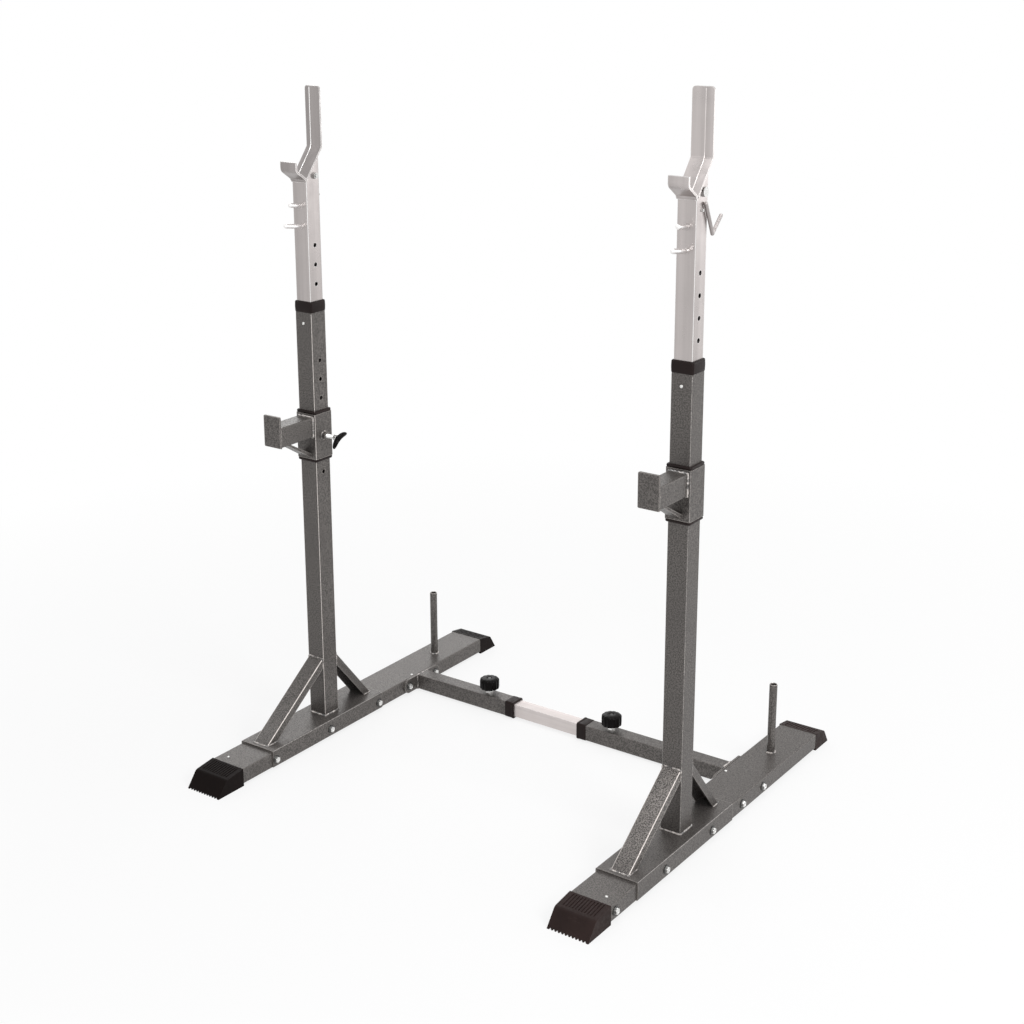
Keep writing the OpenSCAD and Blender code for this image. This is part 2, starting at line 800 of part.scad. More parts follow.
module spotter_sleeve() {
    body_h = sleeve_h - 2 * liner_flange;
    color(paint) difference() {
        union() {
            translate([0, 0, -body_h / 2]) tube(sleeve_w, sleeve_w, sleeve_wall, body_h, tube_corner);
            x_cylinder([sleeve_w / 2 - joined, 0, 0], wing_boss_r, wing_boss_h);
        }
        x_cylinder([sleeve_inside / 2 - 1, 0, 0], wing_screw_r + thread_gap, 2 * wing_boss_h);
    }
}

module spotter_liners() {
    body_h = sleeve_h - 2 * liner_flange;
    color(plastic) for (s = [0, 1]) {
        mirror([0, 0, s]) translate([0, 0, body_h / 2]) difference() {
            union() {
                linear_extrude(liner_flange) rounded_rect(sleeve_w, sleeve_w, tube_corner);
                translate([0, 0, -liner_skirt]) linear_extrude(liner_skirt)
                    square(sleeve_inside - 2 * liner_side_gap, center = true);
            }
            translate([0, 0, -liner_skirt - 1]) linear_extrude(liner_skirt + liner_flange + 2)
                square(liner_hole_w, center = true);
        }
    }
}

// Square-ended arm; its underside is level with the wing screw
module spotter_arm() {
    color(paint) translate([0, -sleeve_w / 2, arm_h / 2]) rotate([90, 0, 0])
        tube(arm_w, arm_h, arm_wall, arm_reach - stop_t, tube_corner);
}

module spotter_stop() {
    color(paint) translate([0, -sleeve_w / 2 - arm_reach + stop_t, stop_h / 2]) rotate([90, 0, 0])
        linear_extrude(stop_t) rounded_rect(stop_w, stop_h, tube_corner);
}

module spotter_brace() {
    face = -sleeve_w / 2;
    color(paint) side_plate([
        [face, -arm_brace_foot],
        [face, -arm_brace_foot + 2 * arm_brace_t],
        [face - arm_brace_reach + 2 * arm_brace_t, 0],
        [face - arm_brace_reach, 0]
    ], arm_brace_w);
}

module wing_screw() {
    tip = upright_w / 2 + slide_gap;
    color(zinc) x_cylinder([tip, 0, 0], wing_screw_r, wing_x - tip);
}

// Bent hand grip across the screw's end, a flat-sided arc with round ends
module wing_handle() {
    color(plastic) translate([wing_x, 0, 0]) rotate([wing_turn, 0, 0]) {
        x_cylinder([0, 0, 0], wing_hub_r, wing_t);
        translate([0, 0, -wing_bend_r]) rotate([90, 0, 90]) linear_extrude(wing_t) {
            difference() {
                circle(r = wing_bend_r + wing_r);
                circle(r = wing_bend_r - wing_r);
                for (s = [-1, 1]) {
                    rotate(90 + s * wing_sweep / 2) translate([0, min(s, 0) * 4 * wing_bend_r])
                        square([4 * wing_bend_r, 4 * wing_bend_r]);
                }
                translate([0, -2 * wing_bend_r]) square(4 * wing_bend_r, center = true);
            }
            for (s = [-1, 1]) {
                rotate(90 + s * wing_sweep / 2) translate([wing_bend_r, 0]) circle(r = wing_r);
            }
        }
    }
}

left_place() base_tube();  // left_base_tube
right_place() base_tube();  // right_base_tube
left_place() front_cap();  // left_front_cap
right_place() front_cap();  // right_front_cap
left_place() rear_cap();  // left_rear_cap
right_place() rear_cap();  // right_rear_cap
left_place() foot_plate();  // left_foot_plate
right_place() foot_plate();  // right_foot_plate
left_place() base_bolts();  // left_base_bolts
right_place() base_bolts();  // right_base_bolts
left_place() upright();  // left_upright
right_place() upright();  // right_upright
left_place() front_brace();  // left_front_brace
right_place() front_brace();  // right_front_brace
left_place() rear_brace();  // left_rear_brace
right_place() rear_brace();  // right_rear_brace
left_place() storage_peg();  // left_storage_peg
right_place() storage_peg();  // right_storage_peg
left_place() top_bushing();  // left_top_bushing
right_place() top_bushing();  // right_top_bushing
left_place() bushing_screw();  // left_bushing_screw
right_place() bushing_screw();  // right_bushing_screw
left_place() crossbar_half(left_half_reach);  // left_crossbar_half
right_place() crossbar_half(right_half_reach);  // right_crossbar_half
left_place() crossbar_flange();  // left_crossbar_flange
right_place() crossbar_flange();  // right_crossbar_flange
left_place() end_bushing(left_half_reach);  // left_end_bushing
right_place() end_bushing(right_half_reach);  // right_end_bushing
left_place() clamp_stud(left_knob_x);  // left_clamp_stud
right_place() clamp_stud(right_knob_x);  // right_clamp_stud
left_place() clamp_knob(left_knob_x);  // left_clamp_knob
right_place() clamp_knob(right_knob_x);  // right_clamp_knob
crossbar_slider();
left_place() raised(left_catch_step) inner_tube();  // left_inner_tube
right_place() raised(right_catch_step) inner_tube();  // right_inner_tube
left_place() raised(left_catch_step) catch_lip();  // left_catch_lip
right_place() raised(right_catch_step) catch_lip();  // right_catch_lip
left_place() raised(left_catch_step) bar_guide();  // left_bar_guide
right_place() raised(right_catch_step) bar_guide();  // right_bar_guide
left_place() raised(left_catch_step) front_pegs();  // left_front_pegs
right_place() raised(right_catch_step) front_pegs();  // right_front_pegs
left_place() raised(left_catch_step) rear_hook();  // left_rear_hook
right_place() raised(right_catch_step) rear_hook();  // right_rear_hook
left_place() raised(left_catch_step) catch_bolts();  // left_catch_bolts
right_place() raised(right_catch_step) catch_bolts();  // right_catch_bolts
left_place() spotted(left_spotter_step) spotter_sleeve();  // left_spotter_sleeve
right_place() spotted(right_spotter_step) spotter_sleeve();  // right_spotter_sleeve
left_place() spotted(left_spotter_step) spotter_liners();  // left_spotter_liners
right_place() spotted(right_spotter_step) spotter_liners();  // right_spotter_liners
left_place() spotted(left_spotter_step) spotter_arm();  // left_spotter_arm
right_place() spotted(right_spotter_step) spotter_arm();  // right_spotter_arm
left_place() spotted(left_spotter_step) spotter_stop();  // left_spotter_stop
right_place() spotted(right_spotter_step) spotter_stop();  // right_spotter_stop
left_place() spotted(left_spotter_step) spotter_brace();  // left_spotter_brace
right_place() spotted(right_spotter_step) spotter_brace();  // right_spotter_brace
left_place() spotted(left_spotter_step) wing_screw();  // left_wing_screw
right_place() spotted(right_spotter_step) wing_screw();  // right_wing_screw
left_place() spotted(left_spotter_step) wing_handle();  // left_wing_handle
right_place() spotted(right_spotter_step) wing_handle();  // right_wing_handle
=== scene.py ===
"""Looks for a pair of squat stands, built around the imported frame.

A stand's own pieces are written in millimetres in its own place: the upright's axis at x = 0, y = 0,
the floor at z = 0, the lifter on the -Y side and the other stand on the +X side.
"""

import json
import math
import random

import bpy  # noqa: E402
from mathutils import Matrix, Vector  # noqa: E402


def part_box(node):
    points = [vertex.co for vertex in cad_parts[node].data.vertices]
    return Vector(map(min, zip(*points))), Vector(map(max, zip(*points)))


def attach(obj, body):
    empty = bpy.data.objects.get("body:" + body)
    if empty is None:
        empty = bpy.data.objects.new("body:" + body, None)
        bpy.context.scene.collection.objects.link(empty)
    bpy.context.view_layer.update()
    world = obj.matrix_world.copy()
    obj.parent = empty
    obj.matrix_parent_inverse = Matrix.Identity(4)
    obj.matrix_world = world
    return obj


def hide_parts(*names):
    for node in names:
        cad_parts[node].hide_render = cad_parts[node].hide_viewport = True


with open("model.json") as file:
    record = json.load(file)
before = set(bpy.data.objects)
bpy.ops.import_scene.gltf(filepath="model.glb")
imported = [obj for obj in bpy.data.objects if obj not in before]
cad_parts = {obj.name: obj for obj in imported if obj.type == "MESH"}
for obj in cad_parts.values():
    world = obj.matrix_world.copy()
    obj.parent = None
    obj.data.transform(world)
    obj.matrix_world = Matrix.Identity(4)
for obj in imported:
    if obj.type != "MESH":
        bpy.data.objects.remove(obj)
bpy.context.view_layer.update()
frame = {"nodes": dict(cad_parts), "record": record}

# Camera, fitted to the photograph
CAMERA_PLACE = Vector((2.1649, -3.0591, 1.9307))
CAMERA_YAW = 0.62224
CAMERA_PITCH = 0.27901
CAMERA_ROLL = -0.00379
CAMERA_LENS = 60.0
CAMERA_SENSOR = 36.0
CAMERA_SHIFT = (0.0065, -0.0864)

SIDES = ("left", "right")
MM = 0.001
X_AXIS, Y_AXIS, Z_AXIS = (1, 0, 0), (0, 1, 0), (0, 0, 1)

# Sizes in millimetres, the same as the solids'
BASE_HALF = 49.0
BASE_TOP = 43.0
CHANNEL_T = 3.0
PLATE_TOP = 48.0
BOLT_Z = 24.0
FLANGE_T = 5.0
UPRIGHT_HALF = 25.0
UPRIGHT_TOP = 1092.0
TUBE_ROUND = 3.0
BRACE_HALF = 23.0
BRACE_TOP = 202.0
BRACE_DEPTH = 20.0
BRACE_T = 3.0
BRACE_ROUND = 5.0
INNER_HALF = 22.0
INNER_ROUND = 2.5
FRONT_PEG_DROPS = (58, 106)
GUIDE_TOP = 212.0
GUIDE_SETBACK = 52.0
GUIDE_T = 4.0
GUIDE_CREASE = 7.0
RAMP_SLOPE = math.tan(math.radians(52))
SLEEVE_HALF = 30.0
SLEEVE_BODY_HALF = 56.0
LINER_HEIGHT = 7.0
ARM_HALF = 23.0
ARM_HEIGHT = 49.0
ARM_LENGTH = 112.0
CROSSBAR_HALF = 20.0


def centre(node):
    """Middle of a CAD node's box."""
    low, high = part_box(node)
    return (low + high) / 2


def stand_matrix(side):
    """From a stand's own millimetres to the row frame."""
    axis = centre(f"{side}_upright")
    mirror = 1 if side == "left" else -1
    scale = Matrix.Diagonal((mirror * MM, MM, MM, 1))
    return Matrix.Translation((axis.x, axis.y, 0)) @ scale


PLACES = {side: stand_matrix(side) for side in SIDES}
ROW_PLACE = Matrix.Diagonal((MM, MM, MM, 1))


def in_stand(side, point):
    """A row-frame point in a stand's own millimetres."""
    return PLACES[side].inverted() @ point


def middle(side, part):
    """Middle of a stand's CAD node, in the stand's own millimetres."""
    return in_stand(side, centre(f"{side}_{part}"))


def extent(side, part):
    """Lowest and highest corner of a stand's CAD node, in the stand's own millimetres."""
    corners = [in_stand(side, corner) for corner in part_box(f"{side}_{part}")]
    return Vector(map(min, *corners)), Vector(map(max, *corners))


# Materials


class Shader:
    """A material's nodes, with short calls to add and join them."""

    def __init__(self, name):
        self.material = bpy.data.materials.new(name)
        self.material.use_nodes = True
        self.tree = self.material.node_tree
        self.surface = self.tree.nodes["Principled BSDF"]
        self.place = self.add("ShaderNodeTexCoord").outputs["Object"]

    def add(self, kind, **settings):
        made = self.tree.nodes.new(kind)
        for key, value in settings.items():
            setattr(made, key, value)
        return made

    def join(self, output, entry):
        self.tree.links.new(output, entry)

    def stretched(self, scale):
        """The surface's own coordinates, with a scale for each axis."""
        mapping = self.add("ShaderNodeMapping")
        mapping.inputs["Scale"].default_value = scale
        self.join(self.place, mapping.inputs["Vector"])
        return mapping.outputs["Vector"]

    def noise(self, scale, detail=3.0, stretch=None, roughness=0.55):
        made = self.add("ShaderNodeTexNoise")
        made.inputs["Scale"].default_value = scale
        made.inputs["Detail"].default_value = detail
        made.inputs["Roughness"].default_value = roughness
        self.join(self.stretched(stretch) if stretch else self.place, made.inputs["Vector"])
        return made.outputs["Fac"]

    def cells(self, scale, smoothness=0.6):
        """Distance to the nearest of many scattered spots."""
        made = self.add("ShaderNodeTexVoronoi", feature="SMOOTH_F1")
        made.inputs["Scale"].default_value = scale
        made.inputs["Smoothness"].default_value = smoothness
        self.join(self.place, made.inputs["Vector"])
        return made.outputs["Distance"]

    def spread(self, value, low, high, new_low=0.0, new_high=1.0):
        """A value between low and high, softly mapped to lie between new_low and new_high."""
        made = self.add("ShaderNodeMapRange", interpolation_type="SMOOTHSTEP")
        made.inputs["From Min"].default_value = low
        made.inputs["From Max"].default_value = high
        made.inputs["To Min"].default_value = new_low
        made.inputs["To Max"].default_value = new_high
        self.join(value, made.inputs["Value"])
        return made.outputs["Result"]

    def mixed(self, amount, first, second):
        """From the first colour at 0 to the second at 1; either may be a colour or an output."""
        made = self.add("ShaderNodeMix", data_type="RGBA")
        self.join(amount, made.inputs["Factor"])
        for entry, colour in ((6, first), (7, second)):
            if isinstance(colour, tuple):
                made.inputs[entry].default_value = (*colour, 1)
            else:
                self.join(colour, made.inputs[entry])
        return made.outputs[2]

    def product(self, value, factor):
        made = self.add("ShaderNodeMath", operation="MULTIPLY")
        self.join(value, made.inputs[0])
        made.inputs[1].default_value = factor
        return made.outputs[0]

    def edges(self, radius):
        """Mask that is 1 on sharp edges and 0 on flat faces."""
        bevel = self.add("ShaderNodeBevel", samples=4)
        bevel.inputs["Radius"].default_value = radius
        facing = self.add("ShaderNodeVectorMath", operation="DOT_PRODUCT")
        self.join(bevel.outputs["Normal"], facing.inputs[0])
        self.join(self.add("ShaderNodeNewGeometry").outputs["Normal"], facing.inputs[1])
        return self.spread(facing.outputs["Value"], 0.8, 0.995, 1.0, 0.0)

    def bumps(self, *layers):
        """Layers are (height, depth in metres, strength), the coarsest first."""
        normal = None
        for height, depth, strength in layers:
            made = self.add("ShaderNodeBump")
            made.inputs["Strength"].default_value = strength
            made.inputs["Distance"].default_value = depth
            self.join(height, made.inputs["Height"])
            if normal:
                self.join(normal, made.inputs["Normal"])
            normal = made.outputs["Normal"]
        self.join(normal, self.surface.inputs["Normal"])

    def finish(self, colour, roughness, metallic, specular=0.5):
        self.join(colour, self.surface.inputs["Base Color"])
        self.join(roughness, self.surface.inputs["Roughness"])
        self.surface.inputs["Metallic"].default_value = metallic
        self.surface.inputs["Specular IOR Level"].default_value = specular
        return self.material


PAINT = (0.106, 0.097, 0.091)
PAINT_METALLIC = 0.35
PAINT_SPECULAR = 0.35
DIMPLES = 400
DIMPLE_DEPTH = 0.0005
CHROME = (0.47, 0.435, 0.425)
BRIGHT_CHROME = (0.88, 0.86, 0.85)
# Near white, for the painted highlight on plated edges
EDGE_HIGHLIGHT_CHROME = (0.93, 0.92, 0.91)
ALONG_Z = (900.0, 900.0, 9.0)
ALONG_X = (9.0, 900.0, 900.0)
# Plating's lowest and highest roughness
SMOOTH = (0.26, 0.4)
SATIN = (0.3, 0.45)
# How much broader the painted reflection bands are than the drawing lines
REFLECTION_BAND_SHARE = 22
PALE_ZINC = (0.9, 0.89, 0.87)
GREY_ZINC = (0.66, 0.66, 0.65)
# Near white, for the painted highlight on zinc edges
EDGE_HIGHLIGHT_ZINC = (0.92, 0.92, 0.9)


def scaled(colour, factor):
    """A colour times a factor, with no part above 1."""
    return tuple(min(1.0, factor * value) for value in colour)


def hammertone(name="hammertone", light=1.0, contrast=0.42, edge=0.45, grain=330, rough=(0.28, 0.5)):
    """Grey hammered paint: specks and shallow dimples, with a painted highlight on the edges."""
    shader = Shader(name)
    dimples = shader.cells(DIMPLES)
    specks = shader.spread(shader.noise(grain, 2), 0.4, 0.6)
    flecks = shader.spread(shader.noise(1.7 * grain, 2), 0.58, 0.68)
    clouds = shader.spread(shader.noise(6, 3), 0.3, 0.7, 0.0, 0.4)
    low = scaled(PAINT, light * (1 - contrast))
    high = scaled(PAINT, light * (1 + contrast))
    bright = scaled(PAINT, light * 2.6)
    ground = shader.mixed(specks, low, high)
    toned = shader.mixed(clouds, ground, scaled(PAINT, 0.85 * light))
    flecked = shader.mixed(shader.product(flecks, contrast), toned, bright)
    # Edges lightened towards white: a painted highlight
    edge_highlit = shader.mixed(shader.product(shader.edges(0.0035), edge), flecked, scaled(bright, 2.0))
    roughness = shader.spread(shader.noise(300, 3), 0.3, 0.7, *rough)
    shader.bumps((dimples, DIMPLE_DEPTH, 0.3), (shader.noise(1300, 2), 0.0001, 0.15))
    return shader.finish(edge_highlit, roughness, PAINT_METALLIC, PAINT_SPECULAR)


def plated(name, stretch, base, rough):
    """Plated steel with fine drawing lines along the tube, broad lighter bands as painted reflections,
    faint smudges and a painted highlight on the edges.
    """
    shader = Shader(name)
    lines = shader.noise(1.0, 2, stretch)
    smudges = shader.spread(shader.noise(9, 4), 0.35, 0.7)
    tone = shader.mixed(smudges, base, scaled(base, 0.92))
    lined = shader.mixed(shader.spread(lines, 0.35, 0.7, 0.0, 0.3), tone, scaled(base, 0.8))
    # Broad lighter bands along the tube: painted reflections
    reflection_bands = shader.noise(1.0, 2, tuple(value / REFLECTION_BAND_SHARE for value in stretch))
    reflection_banded = shader.mixed(shader.spread(reflection_bands, 0.35, 0.7, 0.0, 0.5), lined, scaled(base, 1.3))
    # Edges lightened to near white: a painted highlight
    highlit_edges = shader.mixed(shader.product(shader.edges(0.0022), 0.9), reflection_banded, EDGE_HIGHLIGHT_CHROME)
    roughness = shader.spread(shader.noise(22, 4), 0.3, 0.72, *rough)
    shader.bumps((lines, 0.00004, 0.06), (shader.noise(2600, 2), 0.00003, 0.06))
    return shader.finish(highlit_edges, roughness, 1.0)


def zinc(name="zinc", light=1.0):
    """Zinc-plated fasteners, mottled and a little scratched, with a painted highlight on the edges."""
    shader = Shader(name)
    spangle = shader.spread(shader.cells(700, 0.2), 0.1, 0.7)
    tone = shader.mixed(spangle, scaled(PALE_ZINC, light), scaled(GREY_ZINC, light))
    # Edges lightened: a painted highlight
    edge_highlit = shader.mixed(shader.product(shader.edges(0.0008), 0.7), tone, scaled(EDGE_HIGHLIGHT_ZINC, light))
    roughness = shader.spread(shader.noise(400, 3), 0.3, 0.7, 0.2, 0.4)
    shader.bumps((shader.noise(1800, 3), 0.00005, 0.2))
    return shader.finish(edge_highlit, roughness, 1.0)


def moulded(name, base, rough, grain, scuff, gloss):
    """Moulded black plastic or rubber with a fine grain, pale scuffs and edges that catch the light."""
    shader = Shader(name)
    scuffs = shader.spread(shader.noise(34, 6, (1, 4, 1), 0.7), 0.56, 0.72, 0.0, scuff)
    pale = tuple(3.0 * value + 0.012 for value in base)
    clouds = shader.spread(shader.noise(14, 3), 0.3, 0.7)
    tone = shader.mixed(clouds, base, scaled(base, 1.5))
    scuffed = shader.mixed(scuffs, tone, pale)
    edge_highlit = shader.mixed(shader.product(shader.edges(0.001), 0.5), scuffed, pale)
    roughness = shader.spread(shader.noise(120, 4), 0.3, 0.7, *rough)
    shader.bumps((shader.noise(grain, 2), 0.00012, 0.25), (shader.noise(60, 3), 0.0003, 0.12))
    return shader.finish(edge_highlit, roughness, 0.0, gloss)


# The record's material slots
MATERIALS = {
    "hammertone": hammertone(),
    "chrome": plated("chrome", ALONG_Z, CHROME, SMOOTH),
    "zinc": zinc(),
    "cap_plastic": moulded("cap_plastic", (0.0190, 0.0115, 0.0103), (0.42, 0.6), 1500, 0.3, 0.1),
    "bushing_plastic": moulded("bushing_plastic", (0.011, 0.0066, 0.0060), (0.34, 0.5), 1900, 0.1, 0.14),
    "knob_plastic": moulded("knob_plastic", (0.003, 0.0024, 0.0024), (0.16, 0.28), 2300, 0.03, 0.07),
}

# Finishes that depart from their slot's
SLIDER_CHROME = plated("chrome_slider", ALONG_X, scaled(CHROME, 1.3), (0.5, 0.62))
DARK_CHROME = plated("chrome_dark", ALONG_X, scaled(CHROME, 0.45), (0.4, 0.5))
# Lighter chrome copies: on the front pegs partly a painted highlight, on the tube's corner rods and the
# guide's crease a painted highlight
PEG_AND_HIGHLIGHT_CHROME = plated("chrome_pegs_and_highlight", ALONG_Z, BRIGHT_CHROME, SATIN)
CREASE_HIGHLIGHT_CHROME = plated("chrome_crease_highlight", ALONG_Z, scaled(CHROME, 1.35), SATIN)
HOOK_CHROME = plated("chrome_hook", ALONG_Z, scaled(CHROME, 0.8), SATIN)
# Darker copies of the chrome for the left stand's tube, guide and lip: painted shade
LEFT_TUBE_SHADED_CHROME = plated("chrome_left_tube_shaded", ALONG_Z, scaled(CHROME, 0.88), SMOOTH)
LEFT_GUIDE_SHADED_CHROME = plated("chrome_left_guide_shaded", ALONG_Z, scaled(CHROME, 0.68), SMOOTH)
# Brace paint for each stand: the right one lighter, standing in for the light on it, both with strong
# painted edge highlights
LIT_AND_SHADED_BRACE_PAINT = {
    "left": hammertone("hammertone_brace_left", 1.0, 0.55, 0.8, 400),
    "right": hammertone("hammertone_brace_right_lit", 1.3, 0.9, 0.8, 400),
}
# Light paints for rods along edges: painted highlights, one strong and one faint
EDGE_HIGHLIGHT_PAINT = hammertone("hammertone_edge_highlight", 6.5, 0.2, 0.2)
PALE_HIGHLIGHT_PAINT = hammertone("hammertone_pale_highlight", 2.2, 0.4, 0.2)
# Lighter paint for the weld beads: painted highlights on their glossy paint
HIGHLIT_WELD_PAINT = hammertone("hammertone_weld_highlit", 2.7, 0.95, 0.3, 110)
PEG_PAINT = hammertone("hammertone_peg", 1.1, 0.4, 0.9, 330, (0.16, 0.26))
# Near-black zinc: the knob's insert, and on the washers a painted shadow round the bolt heads
DARK_ZINC_AND_SHADOW = zinc("zinc_dark_and_shadow", 0.1)
DULL_ZINC = zinc("zinc_dull", 0.62)
# Darker copy of the cap plastic for the left stand's caps, partly painted shade
SHADED_BLACK_CAP = moulded("cap_black_shaded", (0.005, 0.0028, 0.0024), (0.3, 0.5), 1500, 0.12, 0.06)

NODE_FINISHES = {
    "crossbar_slider": SLIDER_CHROME,
    "left_inner_tube": LEFT_TUBE_SHADED_CHROME,
    "left_bar_guide": LEFT_GUIDE_SHADED_CHROME,
    "left_catch_lip": LEFT_GUIDE_SHADED_CHROME,
    "left_front_cap": SHADED_BLACK_CAP,
    "left_rear_cap": SHADED_BLACK_CAP,
}
for side in SIDES:
    NODE_FINISHES[f"{side}_catch_bolts"] = DULL_ZINC
    NODE_FINISHES[f"{side}_front_pegs"] = PEG_AND_HIGHLIGHT_CHROME
    NODE_FINISHES[f"{side}_rear_hook"] = HOOK_CHROME


def dress_frame():
    """Gives each carried-over CAD node its finish."""
    slots = {row["node"]: row["material_slot"] for row in frame["record"]["subparts"]}
    for node, shown in frame["nodes"].items():
        material = NODE_FINISHES.get(node, MATERIALS[slots[node]])
        if not shown.material_slots:
            shown.data.materials.append(material)
        for entry in shown.material_slots:
            entry.material = material


# Mesh builders. Each gives (points, faces), unless it says otherwise.


def joined(parts):
    """Several meshes as one."""
    points, faces = [], []
    for part_points, part_faces in parts:
        start = len(points)
        points += part_points
        faces += [tuple(start + i for i in face) for face in part_faces]
    return points, faces


def moved(mesh, matrix):
    points, faces = mesh
    return [matrix @ p for p in points], faces


def bridged(rings):
    """Faces between rings of equal size, or between a ring and a single point."""
    faces = []
    for low, high in zip(rings, rings[1:]):
        count = max(len(low), len(high))
        for i in range(count):
            k = (i + 1) % count
            if len(low) == 1:
                faces.append((low[0], high[k], high[i]))
            elif len(high) == 1:
                faces.append((low[i], low[k], high[0]))
            else:
                faces.append((low[i], low[k], high[k], high[i]))
    return faces


def turned(profile, segments=48, shape=None):
    """Body turned round +Z from (radius, height) points; shape(angle, radius) may change the radius."""
    points, rings = [], []
    for radius, height in profile:
        if radius == 0:
            rings.append([len(points)])
            points.append(Vector((0, 0, height)))
            continue
        rings.append(list(range(len(points), len(points) + segments)))
        for i in range(segments):
            angle = 2 * math.pi * i / segments
            r = shape(angle, radius) if shape else radius
            points.append(Vector((r * math.cos(angle), r * math.sin(angle), height)))
    return points, bridged(rings)


def ring_body(profile, segments, shape):
    """Closed ring round +Z from (radius, height) points that form a loop."""
    points, _ = turned(profile, segments, shape)
    rings = [list(range(i * segments, (i + 1) * segments)) for i in range(len(profile))]
    return points, bridged(rings + rings[:1])


def square_loop(half, corner, steps=6):
    """Points (x, y) round a rounded square."""
    loop = []
    for quarter, (x_sign, y_sign) in enumerate(((1, 1), (-1, 1), (-1, -1), (1, -1))):
        for i in range(steps + 1):
            angle = math.radians(90 * (quarter + i / steps))
            x = x_sign * (half - corner) + corner * math.cos(angle)
            y = y_sign * (half - corner) + corner * math.sin(angle)
            loop.append((x, y))
    return loop


LEAST_CORNER = 0.6


def square_ring(profile, half, corner):
    """Closed ring round a square hole from (offset outward, height) points that form a loop."""
    points, rings = [], []
    for offset, height in profile:
        loop = square_loop(half + offset, max(corner + offset, LEAST_CORNER))
        rings.append(list(range(len(points), len(points) + len(loop))))
        points += [Vector((x, y, height)) for x, y in loop]
    return points, bridged(rings + rings[:1])


def arc(middle_point, radius, start, end, steps=5):
    """Points along an arc, from and to angles in degrees."""
    made = []
    for i in range(steps + 1):
        angle = math.radians(start + (end - start) * i / steps)
        x = middle_point[0] + radius * math.cos(angle)
        y = middle_point[1] + radius * math.sin(angle)
        made.append((x, y))
    return made


def ring_path(radius, count, place):
    """Points round a circle; place(a, b) puts them in space."""
    angles = [2 * math.pi * i / count for i in range(count)]
    return [place(radius * math.cos(angle), radius * math.sin(angle)) for angle in angles]


def rectangle(half, low, high, place):
    """Four corners in a plane; place(a, b) puts them in space."""
    return [place(-half, low), place(half, low), place(half, high), place(-half, high)]


def sampled(path, spacing):
    """Evenly spaced points along a polyline."""
    lengths = [(b - a).length for a, b in zip(path, path[1:])]
    total = sum(lengths)
    count = max(4, round(total / spacing))
    made = []
    for i in range(count + 1):
        left = total * i / count
        for (a, b), length in zip(zip(path, path[1:]), lengths):
            if left <= length or b is path[-1]:
                made.append(a.lerp(b, min(1.0, left / length)))
                break
            left -= length
    return made


def tube_along(path, radii, up, sides=20):
    """Round sweep along a path; radii gives (across, along up) at each point."""
    points, rings = [], []
    up = Vector(up).normalized()
    for i, spot in enumerate(path):
        along = (path[min(i + 1, len(path) - 1)] - path[max(i - 1, 0)]).normalized()
        across = along.cross(up).normalized()
        wide, high = radii[i]
        rings.append(list(range(len(points), len(points) + sides)))
        for k in range(sides):
            angle = 2 * math.pi * k / sides
            points.append(spot + wide * math.cos(angle) * across + high * math.sin(angle) * up)
    return points, bridged(rings) + [tuple(rings[0]), tuple(reversed(rings[-1]))]


# Weld beads
BEAD_SPACING = 0.8
BEAD_PITCH = 3.2
BEAD_SIDES = 10
BEAD_END_SHARE = 0.45
RIPPLE_LOW, RIPPLE_RISE = 0.72, 0.36
SWELL_SPOTS = 7
SWELL_RANGE = (0.45, 1.5)
SWELL_SHARE = 0.4


def swells(draw, count):
    """Slow uneven swelling along a weld, one value a spot, the last running into the first."""
    knots = [draw.uniform(*SWELL_RANGE) for _ in range(max(2, count // SWELL_SPOTS))]
    made = []
    for i in range(count):
        place = len(knots) * i / count
        low = int(place)
        made.append(knots[low] + (place - low) * (knots[(low + 1) % len(knots)] - knots[low]))
    return made


def bead(path, up, radius, seed, closed=False):
    """Rippled bead of weld along a path that lies square to up."""
    draw = random.Random(seed)
    path = [Vector(p) for p in path]
    if closed:
        path.append(path[0].copy())
    spots = sampled(path, BEAD_SPACING)
    if closed:
        spots = spots[:-1]
    up = Vector(up).normalized()
    phase = draw.random()
    swell = swells(draw, len(spots))
    points, rings = [], []
    for i, spot in enumerate(spots):
        after = spots[(i + 1) % len(spots)] if closed or i + 1 < len(spots) else spot
        before = spots[i - 1] if closed or i > 0 else spot
        along = (after - before).normalized()
        across = along.cross(up).normalized()
        ripple = (i * BEAD_SPACING / BEAD_PITCH + phase) % 1.0
        size = radius * (RIPPLE_LOW + RIPPLE_RISE * math.sqrt(ripple))
        size *= 1 - SWELL_SHARE + SWELL_SHARE * swell[i]
        if not closed and i in (0, len(spots) - 1):
            size *= BEAD_END_SHARE
        rings.append(list(range(len(points), len(points) + BEAD_SIDES)))
        for k in range(BEAD_SIDES):
            angle = 2 * math.pi * k / BEAD_SIDES
            points.append(spot + size * (math.cos(angle) * across + math.sin(angle) * up))
    faces = bridged(rings + rings[:1] if closed else rings)
    if not closed:
        faces += [tuple(rings[0]), tuple(reversed(rings[-1]))]
    return points, faces


# Placing pieces
SHARP = math.radians(38)
AXIS_X = Matrix.Rotation(math.radians(90), 4, "Y")
AXIS_MINUS_Y = Matrix.Rotation(math.radians(90), 4, "X")


def outward(sign, x, y, z):
    """Place whose +Z points along +X or -X."""
    turn = Matrix.Rotation(math.radians(90 * sign), 4, "Y")
    return Matrix.Translation((x, y, z)) @ turn


